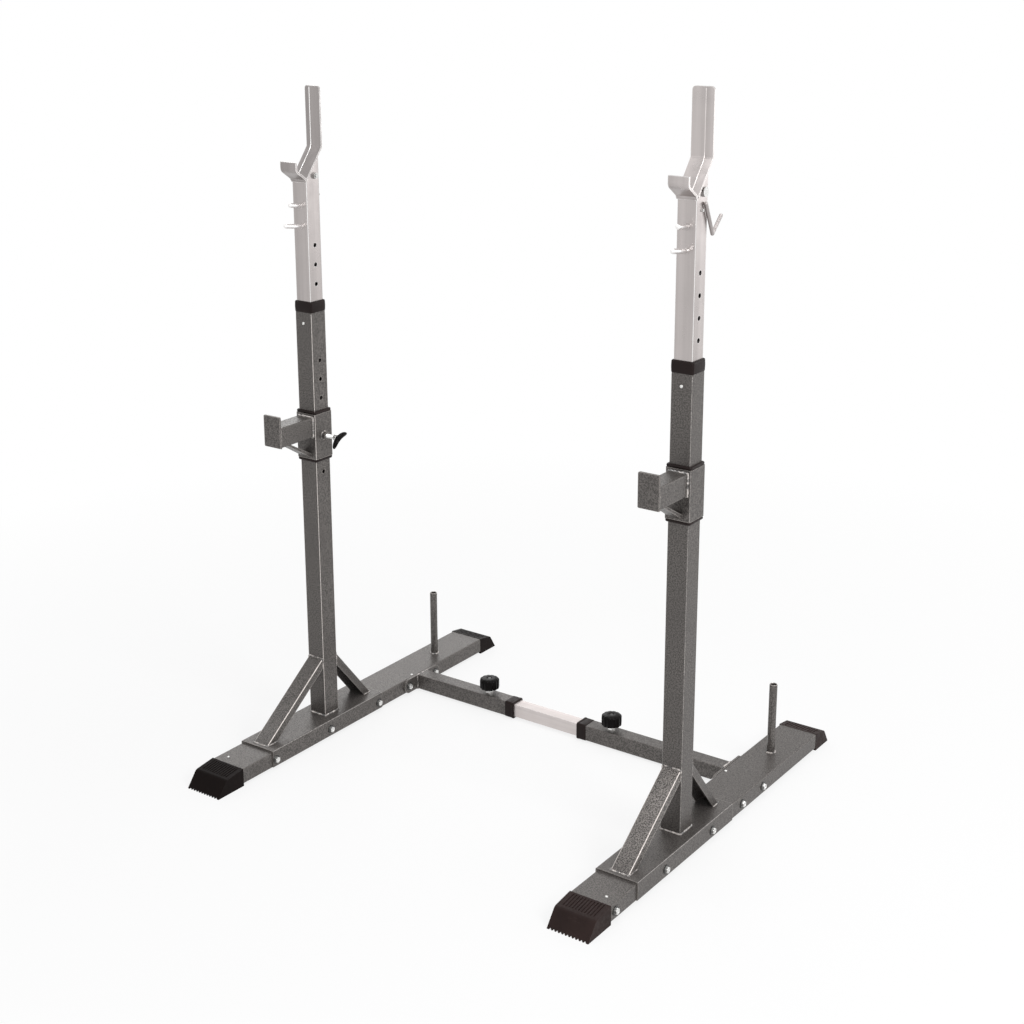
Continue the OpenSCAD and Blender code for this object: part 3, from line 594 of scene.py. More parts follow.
def add_piece(side, name, body, parts, slot, material=None, replaces=None):
    """Makes a named piece from meshes in millimetres.

    On a stand the meshes are in its own place, and its side comes before the names of the piece, the body
    and the replaced node. Without a side the meshes are in the row frame and the names stay as they are.
    """
    prefix = f"{side}_" if side else ""
    points, faces = joined(parts)
    place = PLACES.get(side, ROW_PLACE)
    if side == "right":
        faces = [tuple(reversed(face)) for face in faces]
    mesh = bpy.data.meshes.new(prefix + name)
    mesh.from_pydata([place @ p for p in points], [], faces)
    mesh.polygons.foreach_set("use_smooth", [True] * len(mesh.polygons))
    mesh.set_sharp_from_angle(angle=SHARP)
    mesh.validate()
    mesh.materials.append(material or MATERIALS[slot])
    piece = bpy.data.objects.new(prefix + name, mesh)
    bpy.context.scene.collection.objects.link(piece)
    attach(piece, prefix + body)
    if replaces:
        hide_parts(prefix + replaces)


# Fasteners, as (radius, height) profiles
WASHER = [(0, 0), (10.2, 0), (10.5, 0.3), (10.5, 1.2), (10.0, 1.6), (0, 1.6)]
SCREW_HEAD = [(0, 0), (3.3, 0), (3.3, 0.7), (2.9, 1.5), (2.1, 1.95), (1.15, 2.0), (1.0, 0.9), (0, 0.8)]
HEAD_RADIUS = 7.5
HEAD_FOOT = 1.5
HEAD_TOP = 6.9
CROWN_RADIUS = HEAD_RADIUS * 0.9
BOLT_HEAD = [
    (0, HEAD_FOOT),
    (HEAD_RADIUS, HEAD_FOOT),
    (HEAD_RADIUS, HEAD_TOP - 1.2),
    (HEAD_RADIUS * 0.95, HEAD_TOP - 0.6),
    (CROWN_RADIUS, HEAD_TOP - 0.15),
    (CROWN_RADIUS * 0.93, HEAD_TOP),
    (CROWN_RADIUS * 0.55, HEAD_TOP),
    (CROWN_RADIUS * 0.5, HEAD_TOP - 0.5),
    (0, HEAD_TOP - 0.6),
]
FLANGE_BOLTS = (-55, 55)
BUSHING_SCREW_DROP = 40
BUSHING_SCREW_SCALE = (1.12, 1.05)


def hexagon(angle, radius):
    """Radius of a hexagon of that corner radius."""
    return radius * math.cos(math.pi / 6) / math.cos((angle % (math.pi / 3)) - math.pi / 6)


def crowned(angle, radius):
    """Bolt head's hexagon, with its corners turned down at the crown."""
    return min(hexagon(angle, HEAD_RADIUS), radius)


def base_bolt_places(side):
    """Where the bolts sit on the base's two sides."""
    plate_low, plate_high = extent(side, "foot_plate")
    front = extent(side, "base_tube")[0].y
    flange_y = middle(side, "crossbar_flange").y
    # Places along the base, from an end of the channel or the tube, or else from the upright's axis
    inner = [plate_low.y + 10, -36, plate_high.y - 14]
    outer = [front + 18, -130, 71, plate_high.y + 52, 318]
    places = [outward(1, BASE_HALF + CHANNEL_T, y, BOLT_Z) for y in inner]
    places += [outward(1, BASE_HALF + FLANGE_T, flange_y + offset, BOLT_Z) for offset in FLANGE_BOLTS]
    for y in outer:
        over_channel = plate_low.y < y < plate_high.y
        places.append(outward(-1, -BASE_HALF - (CHANNEL_T if over_channel else 0), y, BOLT_Z))
    return places


def base_fasteners(side):
    """Bolts along the base's sides, small screws in its top and the screw of the upright's bushing."""
    places = base_bolt_places(side)
    heads = [moved(turned(BOLT_HEAD, 72, crowned), place) for place in places]
    washers = [moved(turned(WASHER), place) for place in places]
    # Dark washers: a painted shadow ring round each bolt head
    add_piece(side, "washers", "stand", washers, "zinc", DARK_ZINC_AND_SHADOW)
    cap_screw = (-23, extent(side, "base_tube")[0].y + 25)
    bar_screw = (40, middle(side, "crossbar_flange").y - 28)
    for x, y in (cap_screw, bar_screw):
        heads.append(moved(turned(SCREW_HEAD, 24), Matrix.Translation((x, y, BASE_TOP))))
    add_piece(side, "bolt_heads", "stand", heads, "zinc", replaces="base_bolts")
    place = Matrix.Translation((0, -UPRIGHT_HALF, UPRIGHT_TOP - BUSHING_SCREW_DROP)) @ AXIS_MINUS_Y
    wider, taller = BUSHING_SCREW_SCALE
    head = [(radius * wider, height * taller) for radius, height in SCREW_HEAD]
    add_piece(side, "button_screw", "stand", [moved(turned(head, 24), place)], "zinc",
              replaces="bushing_screw")


# Braces. Their sign is -1 for the front one and 1 for the rear one.
EDGE_BEAD = 1.5
EDGE_STEPS = 40
EDGE_ENDS = (0.015, 0.985)


def brace_reaches(side):
    """How far the front and the rear brace's feet stand from the upright's axis."""
    return -extent(side, "front_brace")[0].y, extent(side, "rear_brace")[1].y


def brace_slope(reach):
    """A brace's run, rise and length along its outer face."""
    run, rise = reach - UPRIGHT_HALF, BRACE_TOP - PLATE_TOP
    return run, rise, math.hypot(run, rise)


def brace_section():
    """Outline of the folded channel: (x, height above the outer face), the folds rounded."""
    fold = (BRACE_HALF - BRACE_ROUND, -BRACE_ROUND)
    outer = [(BRACE_HALF, -BRACE_DEPTH), *arc(fold, BRACE_ROUND, 0, 90)]
    inner = [*arc(fold, BRACE_ROUND - BRACE_T, 90, 0), (BRACE_HALF - BRACE_T, -BRACE_DEPTH)]
    mirrored_outer = [(-x, height) for x, height in reversed(outer)]
    mirrored_inner = [(-x, height) for x, height in reversed(inner)]
    return outer + mirrored_outer + mirrored_inner + inner


def brace_channel(sign, reach):
    """Folded brace from the upright's face down to the foot channel."""
    run, rise, length = brace_slope(reach)
    along, out = (run / length, -rise / length), (rise / length, run / length)
    points = []
    for x, height in brace_section():
        top = -height * out[0] / along[0]
        points.append(Vector((x, sign * UPRIGHT_HALF, BRACE_TOP + height * out[1] + top * along[1])))
    for x, height in brace_section():
        foot = (-rise - height * out[1]) / along[1]
        y = UPRIGHT_HALF + height * out[0] + foot * along[0]
        points.append(Vector((x, sign * y, PLATE_TOP)))
    count = len(points) // 2
    faces = [(i, (i + 1) % count, count + (i + 1) % count, count + i) for i in range(count)]
    faces += [tuple(range(count)), tuple(reversed(range(count, 2 * count)))]
    if sign > 0:
        faces = [tuple(reversed(face)) for face in faces]
    return points, faces


def sunk_by(corner, radius):
    """How deep a rod's middle lies under a rounded corner's two faces, so that a part of it shows."""
    return corner * (1 - math.sqrt(0.5)) + 0.55 * radius


def brace_edges(sign, reach):
    """Light rods along both folds of a brace, a painted highlight, as a list of meshes."""
    run, rise, length = brace_slope(reach)
    out_y, out_z = rise / length, run / length
    sunk = sunk_by(BRACE_ROUND, EDGE_BEAD)
    made = []
    for x_sign in (-1, 1):
        ends = []
        for share in EDGE_ENDS:
            y = UPRIGHT_HALF + share * run - sunk * out_y
            z = BRACE_TOP - share * rise - sunk * out_z
            ends.append(Vector((x_sign * (BRACE_HALF - sunk), sign * y, z)))
        spots = [ends[0].lerp(ends[1], i / EDGE_STEPS) for i in range(EDGE_STEPS + 1)]
        made.append(tube_along(spots, [(EDGE_BEAD, EDGE_BEAD)] * len(spots), X_AXIS, 12))
    return made


def braces(side):
    front, rear = brace_reaches(side)
    add_piece(side, "brace_front", "stand", [brace_channel(-1, front)], "hammertone", LIT_AND_SHADED_BRACE_PAINT[side],
              replaces="front_brace")
    add_piece(side, "brace_edges", "stand", brace_edges(-1, front), "hammertone", EDGE_HIGHLIGHT_PAINT)
    add_piece(side, "brace_rear", "stand", [brace_channel(1, rear)], "hammertone", replaces="rear_brace")


def brace_welds(sign, reach, seed):
    """Beads at the top and foot of a brace, as a list of meshes."""
    slope = math.atan2(BRACE_TOP - PLATE_TOP, reach - UPRIGHT_HALF)
    down = BRACE_DEPTH / math.cos(slope)
    back = BRACE_DEPTH / math.sin(slope)
    top_y = sign * UPRIGHT_HALF
    foot_y = sign * reach
    made = [
        bead([(-BRACE_HALF, top_y, BRACE_TOP), (BRACE_HALF, top_y, BRACE_TOP)], Y_AXIS, 2.2, seed),
        bead([(-BRACE_HALF, foot_y, PLATE_TOP), (BRACE_HALF, foot_y, PLATE_TOP)], Z_AXIS, 2.4, seed + 1),
    ]
    for x in (-BRACE_HALF, BRACE_HALF):
        top = [(x, top_y, BRACE_TOP), (x, top_y, BRACE_TOP - down)]
        foot = [(x, foot_y, PLATE_TOP), (x, foot_y - sign * back, PLATE_TOP)]
        made.append(bead(top, Y_AXIS, 1.9, seed + 2))
        made.append(bead(foot, Z_AXIS, 2.0, seed + 3))
    return made


# Welds
FLANGE_FACE = BASE_HALF + FLANGE_T
ARM_BRACE_WELD_HALF = 15
ARM_BRACE_WELD_INSET = 9
LIP_WELD_HALF = 21
HOOK_HALF = 3.2
# Ends of the hook's leg along the tube, as (y, height from the catch's root)
HOOK_LEG = ((8, -14), (21.5, -43.3))


def screw_height(side):
    """Height of the wing screw's axis, which the spotter catch is measured from."""
    return middle(side, "wing_screw").z


def catch_root(side):
    """Height of the inner tube's front edge."""
    return extent(side, "bar_guide")[1].z - GUIDE_TOP


def stand_welds(side, seed):
    """Beads round the upright's foot, the braces' ends, the storage peg and the crossbar's end."""
    front_reach, rear_reach = brace_reaches(side)
    foot = rectangle(UPRIGHT_HALF, -UPRIGHT_HALF, UPRIGHT_HALF, lambda a, b: Vector((a, b, PLATE_TOP)))
    made = [bead(foot, Z_AXIS, 3.0, seed, closed=True)]
    made += brace_welds(-1, front_reach, seed + 10)
    made += brace_welds(1, rear_reach, seed + 20)
    peg_y = middle(side, "storage_peg").y
    peg_ring = ring_path(10, 36, lambda a, b: Vector((a, peg_y + b, BASE_TOP)))
    made.append(bead(peg_ring, Z_AXIS, 2.6, seed + 30, closed=True))
    bar_y = middle(side, "crossbar_flange").y
    low, high = BOLT_Z - CROSSBAR_HALF + 0.5, BOLT_Z + CROSSBAR_HALF - 0.5
    mouth = rectangle(CROSSBAR_HALF, low, high, lambda a, b: Vector((FLANGE_FACE, bar_y + a, b)))
    made.append(bead(mouth, X_AXIS, 1.8, seed + 31, closed=True))
    add_piece(side, "stand_welds", "stand", made, "hammertone", HIGHLIT_WELD_PAINT)


def spotter_welds(side, seed):
    """Beads round the arm's ends, the screw's boss and the ends of the arm's brace."""
    axis_z = screw_height(side)
    low, high = axis_z + 0.5, axis_z + ARM_HEIGHT
    stop_y = -SLEEVE_HALF - ARM_LENGTH
    arm = rectangle(ARM_HALF, low, high, lambda a, b: Vector((a, -SLEEVE_HALF, b)))
    stop = rectangle(ARM_HALF, low, high, lambda a, b: Vector((a, stop_y, b)))
    boss = ring_path(9.5, 30, lambda a, b: Vector((SLEEVE_HALF, a, axis_z + b)))
    brace_low = extent(side, "spotter_brace")[0]
    half = ARM_BRACE_WELD_HALF
    root_z = brace_low.z + ARM_BRACE_WELD_INSET
    tip_y = brace_low.y + ARM_BRACE_WELD_INSET
    made = [
        bead(arm, Y_AXIS, 3.1, seed, closed=True),
        bead(stop, Y_AXIS, 2.0, seed + 1, closed=True),
        bead(boss, X_AXIS, 1.7, seed + 2, closed=True),
        bead([(-half, -SLEEVE_HALF, root_z), (half, -SLEEVE_HALF, root_z)], Y_AXIS, 2.0, seed + 3),
        bead([(-half, tip_y, axis_z), (half, tip_y, axis_z)], Z_AXIS, 2.0, seed + 4),
    ]
    add_piece(side, "spotter_welds", "spotter_catch", made, "hammertone", HIGHLIT_WELD_PAINT)


def catch_welds(side, seed):
    """Beads round the front pegs, along the ramp's sides, under the lip and along the hook."""
    root = catch_root(side)
    made = []
    for number, drop in enumerate(FRONT_PEG_DROPS):
        ring = ring_path(5.6, 24, lambda a, b: Vector((a, -INNER_HALF, root - drop + 1.02 * b)))
        made.append(bead(ring, Y_AXIS, 1.3, seed + number, closed=True))
    for x in (-INNER_HALF, INNER_HALF):
        foot = (x, -INNER_HALF + 1, root + RAMP_SLOPE)
        head = (x, INNER_HALF - 1, root + RAMP_SLOPE * (2 * INNER_HALF - 1) - (4 if x < 0 else 0))
        made.append(bead([foot, head], X_AXIS, 1.4, seed + 4))
    lip_y, lip_z = -INNER_HALF - 0.6, root - 3.6
    lip = [(-LIP_WELD_HALF, lip_y, lip_z), (LIP_WELD_HALF, lip_y, lip_z)]
    made.append(bead(lip, Y_AXIS, 1.3, seed + 6))
    hook_start, hook_end = (Vector((-INNER_HALF, y, root + height)) for y, height in HOOK_LEG)
    across = (hook_end - hook_start).normalized().cross(Vector(X_AXIS))
    for sign in (-1, 1):
        path = [hook_start + sign * HOOK_HALF * across, hook_end + sign * HOOK_HALF * across]
        made.append(bead(path, X_AXIS, 1.4, seed + 7 + sign))
    add_piece(side, "catch_welds", "bar_catch", made, "chrome")


# Thin rods along edges, light ones as painted highlights and one dark line
LINE_BEAD = 0.95
LINE_SPACING = 8.0
CREASE_BEAD = 1.3
SLIDER_BEAD = 0.8


def line_bead(path, radius, up):
    """Thin rod along a straight or bent line of points, with many short steps."""
    spots = sampled([Vector(p) for p in path], LINE_SPACING)
    return tube_along(spots, [(radius, radius)] * len(spots), up, 10)


def corner_lines(half, corner, low, high, signs=(-1, 1)):
    """Rods sunk in a square tube's upright corners, a list; signs picks the front or rear pair."""
    place = half - sunk_by(corner, LINE_BEAD)
    return [
        line_bead([(x * place, y * place, low), (x * place, y * place, high)], LINE_BEAD, X_AXIS)
        for x in (-1, 1) for y in signs
    ]


def channel_lines(side):
    """Rods along the foot channel's two upper edges, a list."""
    low, high = extent(side, "foot_plate")
    sunk = sunk_by(TUBE_ROUND, LINE_BEAD)
    across, height = BASE_HALF + CHANNEL_T - sunk, PLATE_TOP - sunk
    return [
        line_bead([(x * across, low.y + 1, height), (x * across, high.y - 1, height)], LINE_BEAD, Z_AXIS)
        for x in (-1, 1)
    ]


def crease_line(root):
    """Rod along the bar guide's crease, up its ramp and its tall rear part."""
    rise = GUIDE_T / math.cos(math.atan(RAMP_SLOPE))
    bend = (GUIDE_SETBACK, GUIDE_SETBACK * RAMP_SLOPE + rise)
    spots = [(1, RAMP_SLOPE + rise), (bend[0] - 4, bend[1] - 4 * RAMP_SLOPE), (bend[0], bend[1] + 6),
             (bend[0], GUIDE_TOP - 3)]
    path = [(-GUIDE_CREASE, y - INNER_HALF + 0.5, root + z - 0.4) for y, z in spots]
    return line_bead(path, CREASE_BEAD, X_AXIS)


def edge_lines(side):
    # Light rods on the corners are painted highlights, stronger on the left stand
    edge_highlit = EDGE_HIGHLIGHT_PAINT if side == "left" else PALE_HIGHLIGHT_PAINT
    lines = corner_lines(UPRIGHT_HALF, TUBE_ROUND, PLATE_TOP + 3, UPRIGHT_TOP - 16)
    add_piece(side, "upright_edges", "stand", lines, "hammertone", edge_highlit)
    add_piece(side, "channel_edges", "stand", channel_lines(side), "hammertone", PALE_HIGHLIGHT_PAINT)
    axis_z = screw_height(side)
    low, high = axis_z - SLEEVE_BODY_HALF + 1, axis_z + SLEEVE_BODY_HALF - 1
    lines = corner_lines(SLEEVE_HALF, TUBE_ROUND, low, high)
    add_piece(side, "sleeve_edges", "spotter_catch", lines, "hammertone", edge_highlit)
    root = catch_root(side)
    bottom = extent(side, "inner_tube")[0].z
    lines = corner_lines(INNER_HALF, INNER_ROUND, bottom + 2, root - 5, (-1,))
    add_piece(side, "tube_edges", "bar_catch", lines, "chrome", PEG_AND_HIGHLIGHT_CHROME)
    # The crease rod in light chrome: a painted highlight
    creased = PEG_AND_HIGHLIGHT_CHROME if side == "left" else CREASE_HIGHLIGHT_CHROME
    add_piece(side, "crease_line", "bar_catch", [crease_line(root)], "chrome", creased)


def slider_line():
    """Fine dark line along the front top edge of the crossbar's inner tube."""
    low, high = (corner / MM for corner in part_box("crossbar_slider"))
    sunk = INNER_ROUND * (1 - math.sqrt(0.5)) + 0.5
    spots = [(x, low.y + sunk, high.z - sunk) for x in (low.x + 4, high.x - 4)]
    add_piece(None, "slider_line", "crossbar_slider", [line_bead(spots, SLIDER_BEAD, Z_AXIS)], "chrome",
              DARK_CHROME)


# Bushings and liners
POST_BUSHING_SKIRT = 14
POST_BUSHING_RISE = 13
# How far behind its outer end a crossbar bushing's skirt ends and its flange starts
BAR_SKIRT_END = 5
BAR_FLANGE_START = 7.5


def bulged(low, high, reach, bulge, corner):
    """Loop of a soft-edged collar: (offset, height) from its hole outwards."""
    return (
        [(0, high - 0.8), (0.8, high)]
        + arc((reach - corner, high - corner), corner, 90, 0)
        + [(reach + bulge, (low + high) / 2)]
        + arc((reach - corner, low + corner), corner, 0, -90)
        + [(0.8, low), (0, low + 0.8)]
    )


def post_bushing(side):
    """Black collar at the upright's top, round the inner tube."""
    low, high = UPRIGHT_TOP - POST_BUSHING_SKIRT, UPRIGHT_TOP + POST_BUSHING_RISE
    loop = bulged(low, high, reach=4.0, bulge=0.5, corner=3.0)
    add_piece(side, "post_bushing", "stand", [square_ring(loop, half=22.3, corner=1.0)], "bushing_plastic",
              replaces="top_bushing")


def sleeve_liners(side):
    """Black rims of the spotter sleeve, above and below."""
    axis_z = screw_height(side)
    rings = []
    for low in (axis_z + SLEEVE_BODY_HALF, axis_z - SLEEVE_BODY_HALF - LINER_HEIGHT):
        loop = bulged(low, low + LINER_HEIGHT, reach=4.6, bulge=0.4, corner=2.4)
        rings.append(square_ring(loop, half=25.3, corner=1.0))
    add_piece(side, "sleeve_liners", "spotter_catch", rings, "bushing_plastic", replaces="spotter_liners")


def bar_bushing(side):
    """Black skirt and flange at the end of a crossbar half."""
    low, high = extent(side, "end_bushing")
    spot = middle(side, "end_bushing")
    turn = Matrix.Translation((0, spot.y, spot.z)) @ AXIS_X
    skirt_loop = bulged(low.x, high.x - BAR_SKIRT_END, reach=3.9, bulge=0.2, corner=1.6)
    flange_loop = bulged(high.x - BAR_FLANGE_START, high.x, reach=4.7, bulge=0.2, corner=2.0)
    skirt = square_ring(skirt_loop, half=17.4, corner=1.0)
    flange = square_ring(flange_loop, half=17.3, corner=1.0)
    add_piece(side, "bar_bushing", "stand", [moved(skirt, turn), moved(flange, turn)], "bushing_plastic",
              replaces="end_bushing")


# Clamp knobs and their nuts and studs
KNOB_R = 25.2
KNOB_FLUTES = 12
FLUTE_DEPTH = 1.7
FLUTE_WIDTH = 0.1
FLUTE_START = 19.0
FLUTE_FADE = 4.0
KNOB_PROFILE = [
    (0, 0),
    (11.2, 0),
    (12, 0.6),
    (12, 3.6),
    (13.5, 4.0),
    (21.0, 4.0),
    (24.2, 5.0),
    (KNOB_R, 7.2),
    (KNOB_R, 25.5),
    (24.6, 28.2),
    (22.6, 30.2),
    (18.0, 31.4),
    (11.5, 31.9),
    (6.4, 32.0),
    (5.6, 31.6),
    (5.4, 30.4),
    (0, 30.4),
]
INSERT_PROFILE = [(0, 29.5), (4.8, 29.5), (4.8, 31.0), (4.0, 31.7), (0, 31.9)]
COLLAR_PROFILE = [(0, -1.2), (8.4, -1.2), (8.8, -0.8), (8.8, -0.2), (8.2, 0.2), (0, 0.2)]
NUT_R = 10.3
NUT_BORE = 5.5
NUT_TOP = 8.2
NUT_LOOP = [
    (NUT_BORE, 0.1),
    (NUT_R, 0.1),
    (NUT_R, NUT_TOP - 1),
    (0.92 * NUT_R, NUT_TOP),
    (NUT_BORE, NUT_TOP),
]
BUSHING_LIP = 2
STUD_IN_KNOB = 2
SCREW_R = 5
THREAD_ROOT = 0.86
THREAD_END = 0.8
THREAD_PITCH = 1.5


def fluted(angle, radius):
    """Knob's radius, with grooves where it is widest."""
    pitch = 2 * math.pi / KNOB_FLUTES
    away = (angle + pitch / 2) % pitch - pitch / 2
    fade = min(1.0, max(0.0, (radius - FLUTE_START) / FLUTE_FADE))
    return radius - FLUTE_DEPTH * fade * math.exp(-((away / FLUTE_WIDTH) ** 2))


def nut_shape(angle, radius):
    """Hexagon outside, round bore inside."""
    return hexagon(angle, radius) if radius > NUT_BORE else radius


def threaded(radius, low, high):
    """Profile of a screw's thread as a row of ridges."""
    profile = [(0, low), (radius * THREAD_ROOT, low)]
    for i in range(int((high - low) / THREAD_PITCH)):
        profile.append((radius, low + (i + 0.5) * THREAD_PITCH))
        profile.append((radius * THREAD_ROOT, low + (i + 1) * THREAD_PITCH))
    return profile + [(radius * THREAD_END, high), (0, high)]


def clamps(side):
    """Knob with its metal insert, stud with a collar, and the crossbar's plated nut over the solid one."""
    knob_foot = extent(side, "clamp_knob")[0].z
    spot = middle(side, "clamp_knob")
    bar_top = extent(side, "end_bushing")[1].z - BUSHING_LIP
    nut = moved(ring_body(NUT_LOOP, 72, nut_shape), Matrix.Translation((spot.x, spot.y, bar_top)))
    add_piece(side, "bar_nut", "stand", [nut], "zinc")
    place = Matrix.Translation((spot.x, spot.y, knob_foot))
    add_piece(side, "knob", "clamp", [moved(turned(KNOB_PROFILE, 144, fluted), place)], "knob_plastic",
              replaces="clamp_knob")
    add_piece(side, "knob_insert", "clamp", [moved(turned(INSERT_PROFILE, 32), place)], "zinc", DARK_ZINC_AND_SHADOW)
    stud_low, stud_high = extent(side, "clamp_stud")
    thread = turned(threaded(SCREW_R, stud_low.z, stud_high.z + STUD_IN_KNOB), 28)
    stud = moved(thread, Matrix.Translation((spot.x, spot.y, 0)))
    add_piece(side, "stud", "clamp", [stud, moved(turned(COLLAR_PROFILE, 36), place)], "zinc",
              replaces="clamp_stud")


# Wing screws
WING_X = 70.0
WING_T = 13.0
WING_BEND = 42.0
WING_HALF_ANGLE = 41.0
WING_TURN = 30.0
WING_STEPS = 40
# Half the grip's width and thickness in its middle, and what they lose by its ends, which are rounded off
WING_MIDDLE = (6.6, 6.3)
WING_LOSS = (1.6, 1.0)
WING_ROUNDING = 4.5
WING_LEAST = 0.02
WING_HUB = [(0, 63.5), (6.4, 63.5), (7.2, 64.3), (7.8, 71), (7.4, 73), (0, 73)]


def wing_grip():
    """Bowed handle round its bend, thickest in the middle and rounded off at both ends."""
    path, radii = [], []
    for i in range(WING_STEPS + 1):
        t = -math.cos(math.pi * i / WING_STEPS)
        angle = math.radians(90 + WING_HALF_ANGLE * t)
        path.append(Vector((0, WING_BEND * math.cos(angle), WING_BEND * math.sin(angle) - WING_BEND)))
        full = max(WING_LEAST, (1 - abs(t) ** WING_ROUNDING) ** 0.5)
        wide, thick = (half - loss * t * t for half, loss in zip(WING_MIDDLE, WING_LOSS))
        radii.append((wide * full, thick * full))
    return tube_along(path, radii, X_AXIS)


def wing(side):
    """Handle, screw and hub that turn together in the sleeve's boss."""
    axis_z = screw_height(side)
    place = Matrix.Translation((WING_X + WING_T / 2, 0, axis_z))
    place = place @ Matrix.Rotation(math.radians(WING_TURN), 4, "X")
    add_piece(side, "wing_grip", "wing", [moved(wing_grip(), place)], "knob_plastic",
              replaces="wing_handle")
    low, high = extent(side, "wing_screw")
    turn = Matrix.Translation((0, 0, axis_z)) @ AXIS_X
    rod = moved(turned(threaded(SCREW_R, low.x, high.x), 28), turn)
    add_piece(side, "wing_rod", "wing", [rod, moved(turned(WING_HUB, 36), turn)], "zinc",
              replaces="wing_screw")


# Storage pegs
STORAGE_PEG_R = 9.5
STORAGE_PEG_BORE_R = 7.3
STORAGE_PEG_BORE_DEPTH = 8


def storage_peg(side):
    """Upright tube behind the crossbar, open at its top, with a light rim as a painted highlight."""
    spot = middle(side, "storage_peg")
    top = extent(side, "storage_peg")[1].z
    profile = [
        (0, BASE_TOP),
        (STORAGE_PEG_R, BASE_TOP),
        (STORAGE_PEG_R, top - 1.6),
        (9.1, top - 0.6),
        (8.5, top),
        (7.7, top),
        (STORAGE_PEG_BORE_R, top - 0.5),
        (STORAGE_PEG_BORE_R, top - STORAGE_PEG_BORE_DEPTH),
        (0, top - STORAGE_PEG_BORE_DEPTH),
    ]
    place = Matrix.Translation((spot.x, spot.y, 0))
    add_piece(side, "peg", "stand", [moved(turned(profile, 64), place)], "hammertone", PEG_PAINT,
              replaces="storage_peg")
    rim = ring_path(8.1, 36, lambda a, b: Vector((spot.x + a, spot.y + b, top - 1.0)))
    add_piece(side, "peg_rim", "stand", [bead(rim, Z_AXIS, 1.0, 7, closed=True)], "hammertone", EDGE_HIGHLIGHT_PAINT)


def build_pieces():
    for number, side in enumerate(SIDES):
        seed = 100 * (number + 1)
        base_fasteners(side)
        braces(side)
        stand_welds(side, seed)
        spotter_welds(side, seed + 40)
        catch_welds(side, seed + 60)
        post_bushing(side)
        sleeve_liners(side)
        bar_bushing(side)
        clamps(side)
        wing(side)
        storage_peg(side)
        edge_lines(side)
    slider_line()


# Studio
WORLD_COLOUR = (0.86, 0.86, 0.87, 1)
WORLD_LIGHT = 0.5
WHITE = (1, 1, 1, 1)
FLOOR_COLOUR = (0.92, 0.92, 0.92, 1)
FLOOR_HALF = 40.0

# Shares of plain white in the floor's look, near the object and far from it, and where they change
GLOW_NEAR, GLOW_FAR = 0.78, 1.0
GLOW_START, GLOW_END = 1.0, 2.6

# Lamps: name, place, what it points at, size in metres, power in watts
LAMPS = (
    ("key", (4.2, -1.0, 3.4), (0, 0, 0.7), (2.0, 2.0), 92),
    ("front", (-1.6, -4.6, 2.6), (0, 0, 0.7), (2.6, 2.0), 9),
    ("top", (0.2, 0.4, 4.4), (0, 0, 0.2), (3.0, 3.0), 60),
    ("side", (3.4, 3.8, 1.5), (0, 0, 0.9), (2.4, 2.0), 22),
    ("flash", (2.5, -3.3, 2.7), (0, 0, 0.7), (0.5, 0.5), 22),
    ("back", (-3.4, 3.4, 2.6), (0, 0, 0.8), (2.2, 2.2), 24),
)


def area_light(name, place, aim, size, power):
    lamp = bpy.data.lights.new(name, "AREA")
    lamp.shape = "RECTANGLE"
    lamp.size, lamp.size_y = size
    lamp.energy = power
    made = bpy.data.objects.new(name, lamp)
    made.location = place
    made.rotation_mode = "QUATERNION"
    made.rotation_quaternion = (Vector(aim) - Vector(place)).to_track_quat("-Z", "Y")
    made.visible_camera = False
    bpy.context.scene.collection.objects.link(made)


def seen_rays(tree):
    """1 for rays from the camera, mirrors and glass, 0 for light that falls on the object."""
    path = tree.nodes.new("ShaderNodeLightPath")
    total = path.outputs["Is Camera Ray"]
    for output in ("Is Glossy Ray", "Is Transmission Ray"):
        added = tree.nodes.new("ShaderNodeMath")
        added.operation = "MAXIMUM"
        tree.links.new(total, added.inputs[0])
        tree.links.new(path.outputs[output], added.inputs[1])
        total = added.outputs[0]
    return total


def blended(tree, share, first, second, surface):
    """Shows the first shader where the share is 0 and the second where it is 1."""
    blend = tree.nodes.new("ShaderNodeMixShader")
    tree.links.new(share, blend.inputs[0])
    tree.links.new(first.outputs[0], blend.inputs[1])
    tree.links.new(second.outputs[0], blend.inputs[2])
    tree.links.new(blend.outputs[0], surface)


def world_light():
    """Even light from all round, seen as white by the camera and by mirrors."""
    world = bpy.data.worlds.new("studio")
    bpy.context.scene.world = world
    world.use_nodes = True
    tree = world.node_tree
    light = tree.nodes["Background"]
    light.inputs["Color"].default_value = WORLD_COLOUR
    light.inputs["Strength"].default_value = WORLD_LIGHT
    white = tree.nodes.new("ShaderNodeBackground")
    white.inputs["Color"].default_value = WHITE
    white.inputs["Strength"].default_value = 1.0
    blended(tree, seen_rays(tree), light, white, tree.nodes["World Output"].inputs["Surface"])


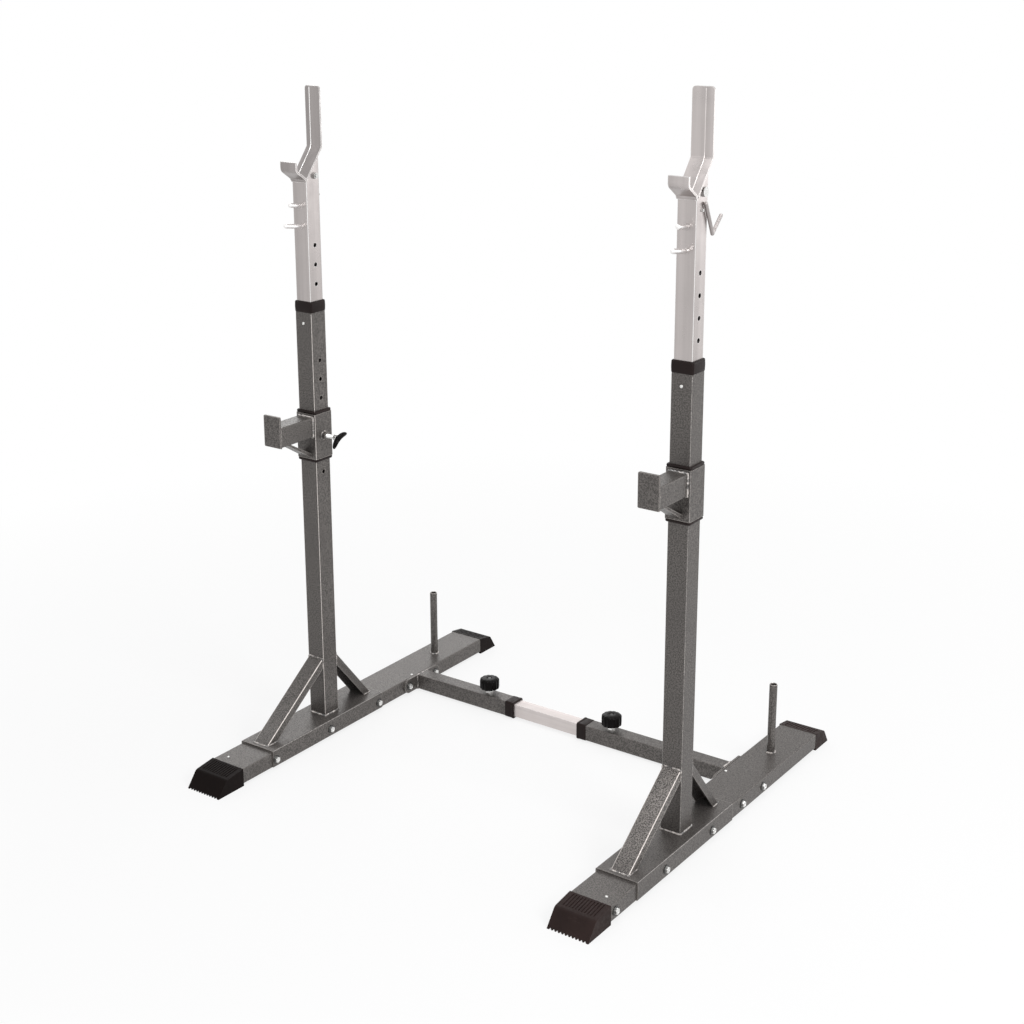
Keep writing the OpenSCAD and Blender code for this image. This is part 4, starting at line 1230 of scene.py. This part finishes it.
def floor_paper():
    """Matt paper that keeps the object's shadow near it and turns plain white further away."""
    paper = bpy.data.materials.new("floor_paper")
    paper.use_nodes = True
    tree = paper.node_tree
    matt = tree.nodes["Principled BSDF"]
    matt.inputs["Base Color"].default_value = FLOOR_COLOUR
    matt.inputs["Roughness"].default_value = 0.9
    matt.inputs["Specular IOR Level"].default_value = 0.1
    glow = tree.nodes.new("ShaderNodeEmission")
    glow.inputs["Color"].default_value = WHITE
    glow.inputs["Strength"].default_value = 1.0
    spot = tree.nodes.new("ShaderNodeTexCoord")
    reach = tree.nodes.new("ShaderNodeVectorMath")
    reach.operation = "LENGTH"
    tree.links.new(spot.outputs["Object"], reach.inputs[0])
    fade = tree.nodes.new("ShaderNodeMapRange")
    fade.inputs["From Min"].default_value = GLOW_START
    fade.inputs["From Max"].default_value = GLOW_END
    fade.inputs["To Min"].default_value = GLOW_NEAR
    fade.inputs["To Max"].default_value = GLOW_FAR
    tree.links.new(reach.outputs["Value"], fade.inputs["Value"])
    share = tree.nodes.new("ShaderNodeMath")
    share.operation = "MULTIPLY"
    tree.links.new(seen_rays(tree), share.inputs[0])
    tree.links.new(fade.outputs["Result"], share.inputs[1])
    blended(tree, share.outputs[0], matt, glow, tree.nodes["Material Output"].inputs["Surface"])
    return paper


def floor():
    mesh = bpy.data.meshes.new("floor")
    signs = ((-1, -1), (1, -1), (1, 1), (-1, 1))
    mesh.from_pydata([(x * FLOOR_HALF, y * FLOOR_HALF, 0) for x, y in signs], [], [(0, 1, 2, 3)])
    mesh.materials.append(floor_paper())
    made = bpy.data.objects.new("floor", mesh)
    bpy.context.scene.collection.objects.link(made)


def camera():
    yaw, pitch, roll = CAMERA_YAW, CAMERA_PITCH, CAMERA_ROLL
    ahead = Vector((-math.sin(yaw) * math.cos(pitch), math.cos(yaw) * math.cos(pitch), -math.sin(pitch)))
    right = Vector((math.cos(yaw), math.sin(yaw), 0))
    up = right.cross(ahead)
    turned_right = math.cos(roll) * right + math.sin(roll) * up
    turned_up = math.cos(roll) * up - math.sin(roll) * right
    matrix = Matrix((turned_right, turned_up, -ahead)).transposed().to_4x4()
    matrix.translation = CAMERA_PLACE
    lens = bpy.data.cameras.new("camera")
    lens.lens = CAMERA_LENS
    lens.sensor_width = CAMERA_SENSOR
    lens.sensor_fit = "HORIZONTAL"
    lens.shift_x, lens.shift_y = CAMERA_SHIFT
    made = bpy.data.objects.new("camera", lens)
    made.matrix_world = matrix
    bpy.context.scene.collection.objects.link(made)
    bpy.context.scene.camera = made


dress_frame()
build_pieces()
world_light()
floor()
for lamp in LAMPS:
    area_light(*lamp)
camera()
bpy.context.scene.view_settings.view_transform = "Standard"
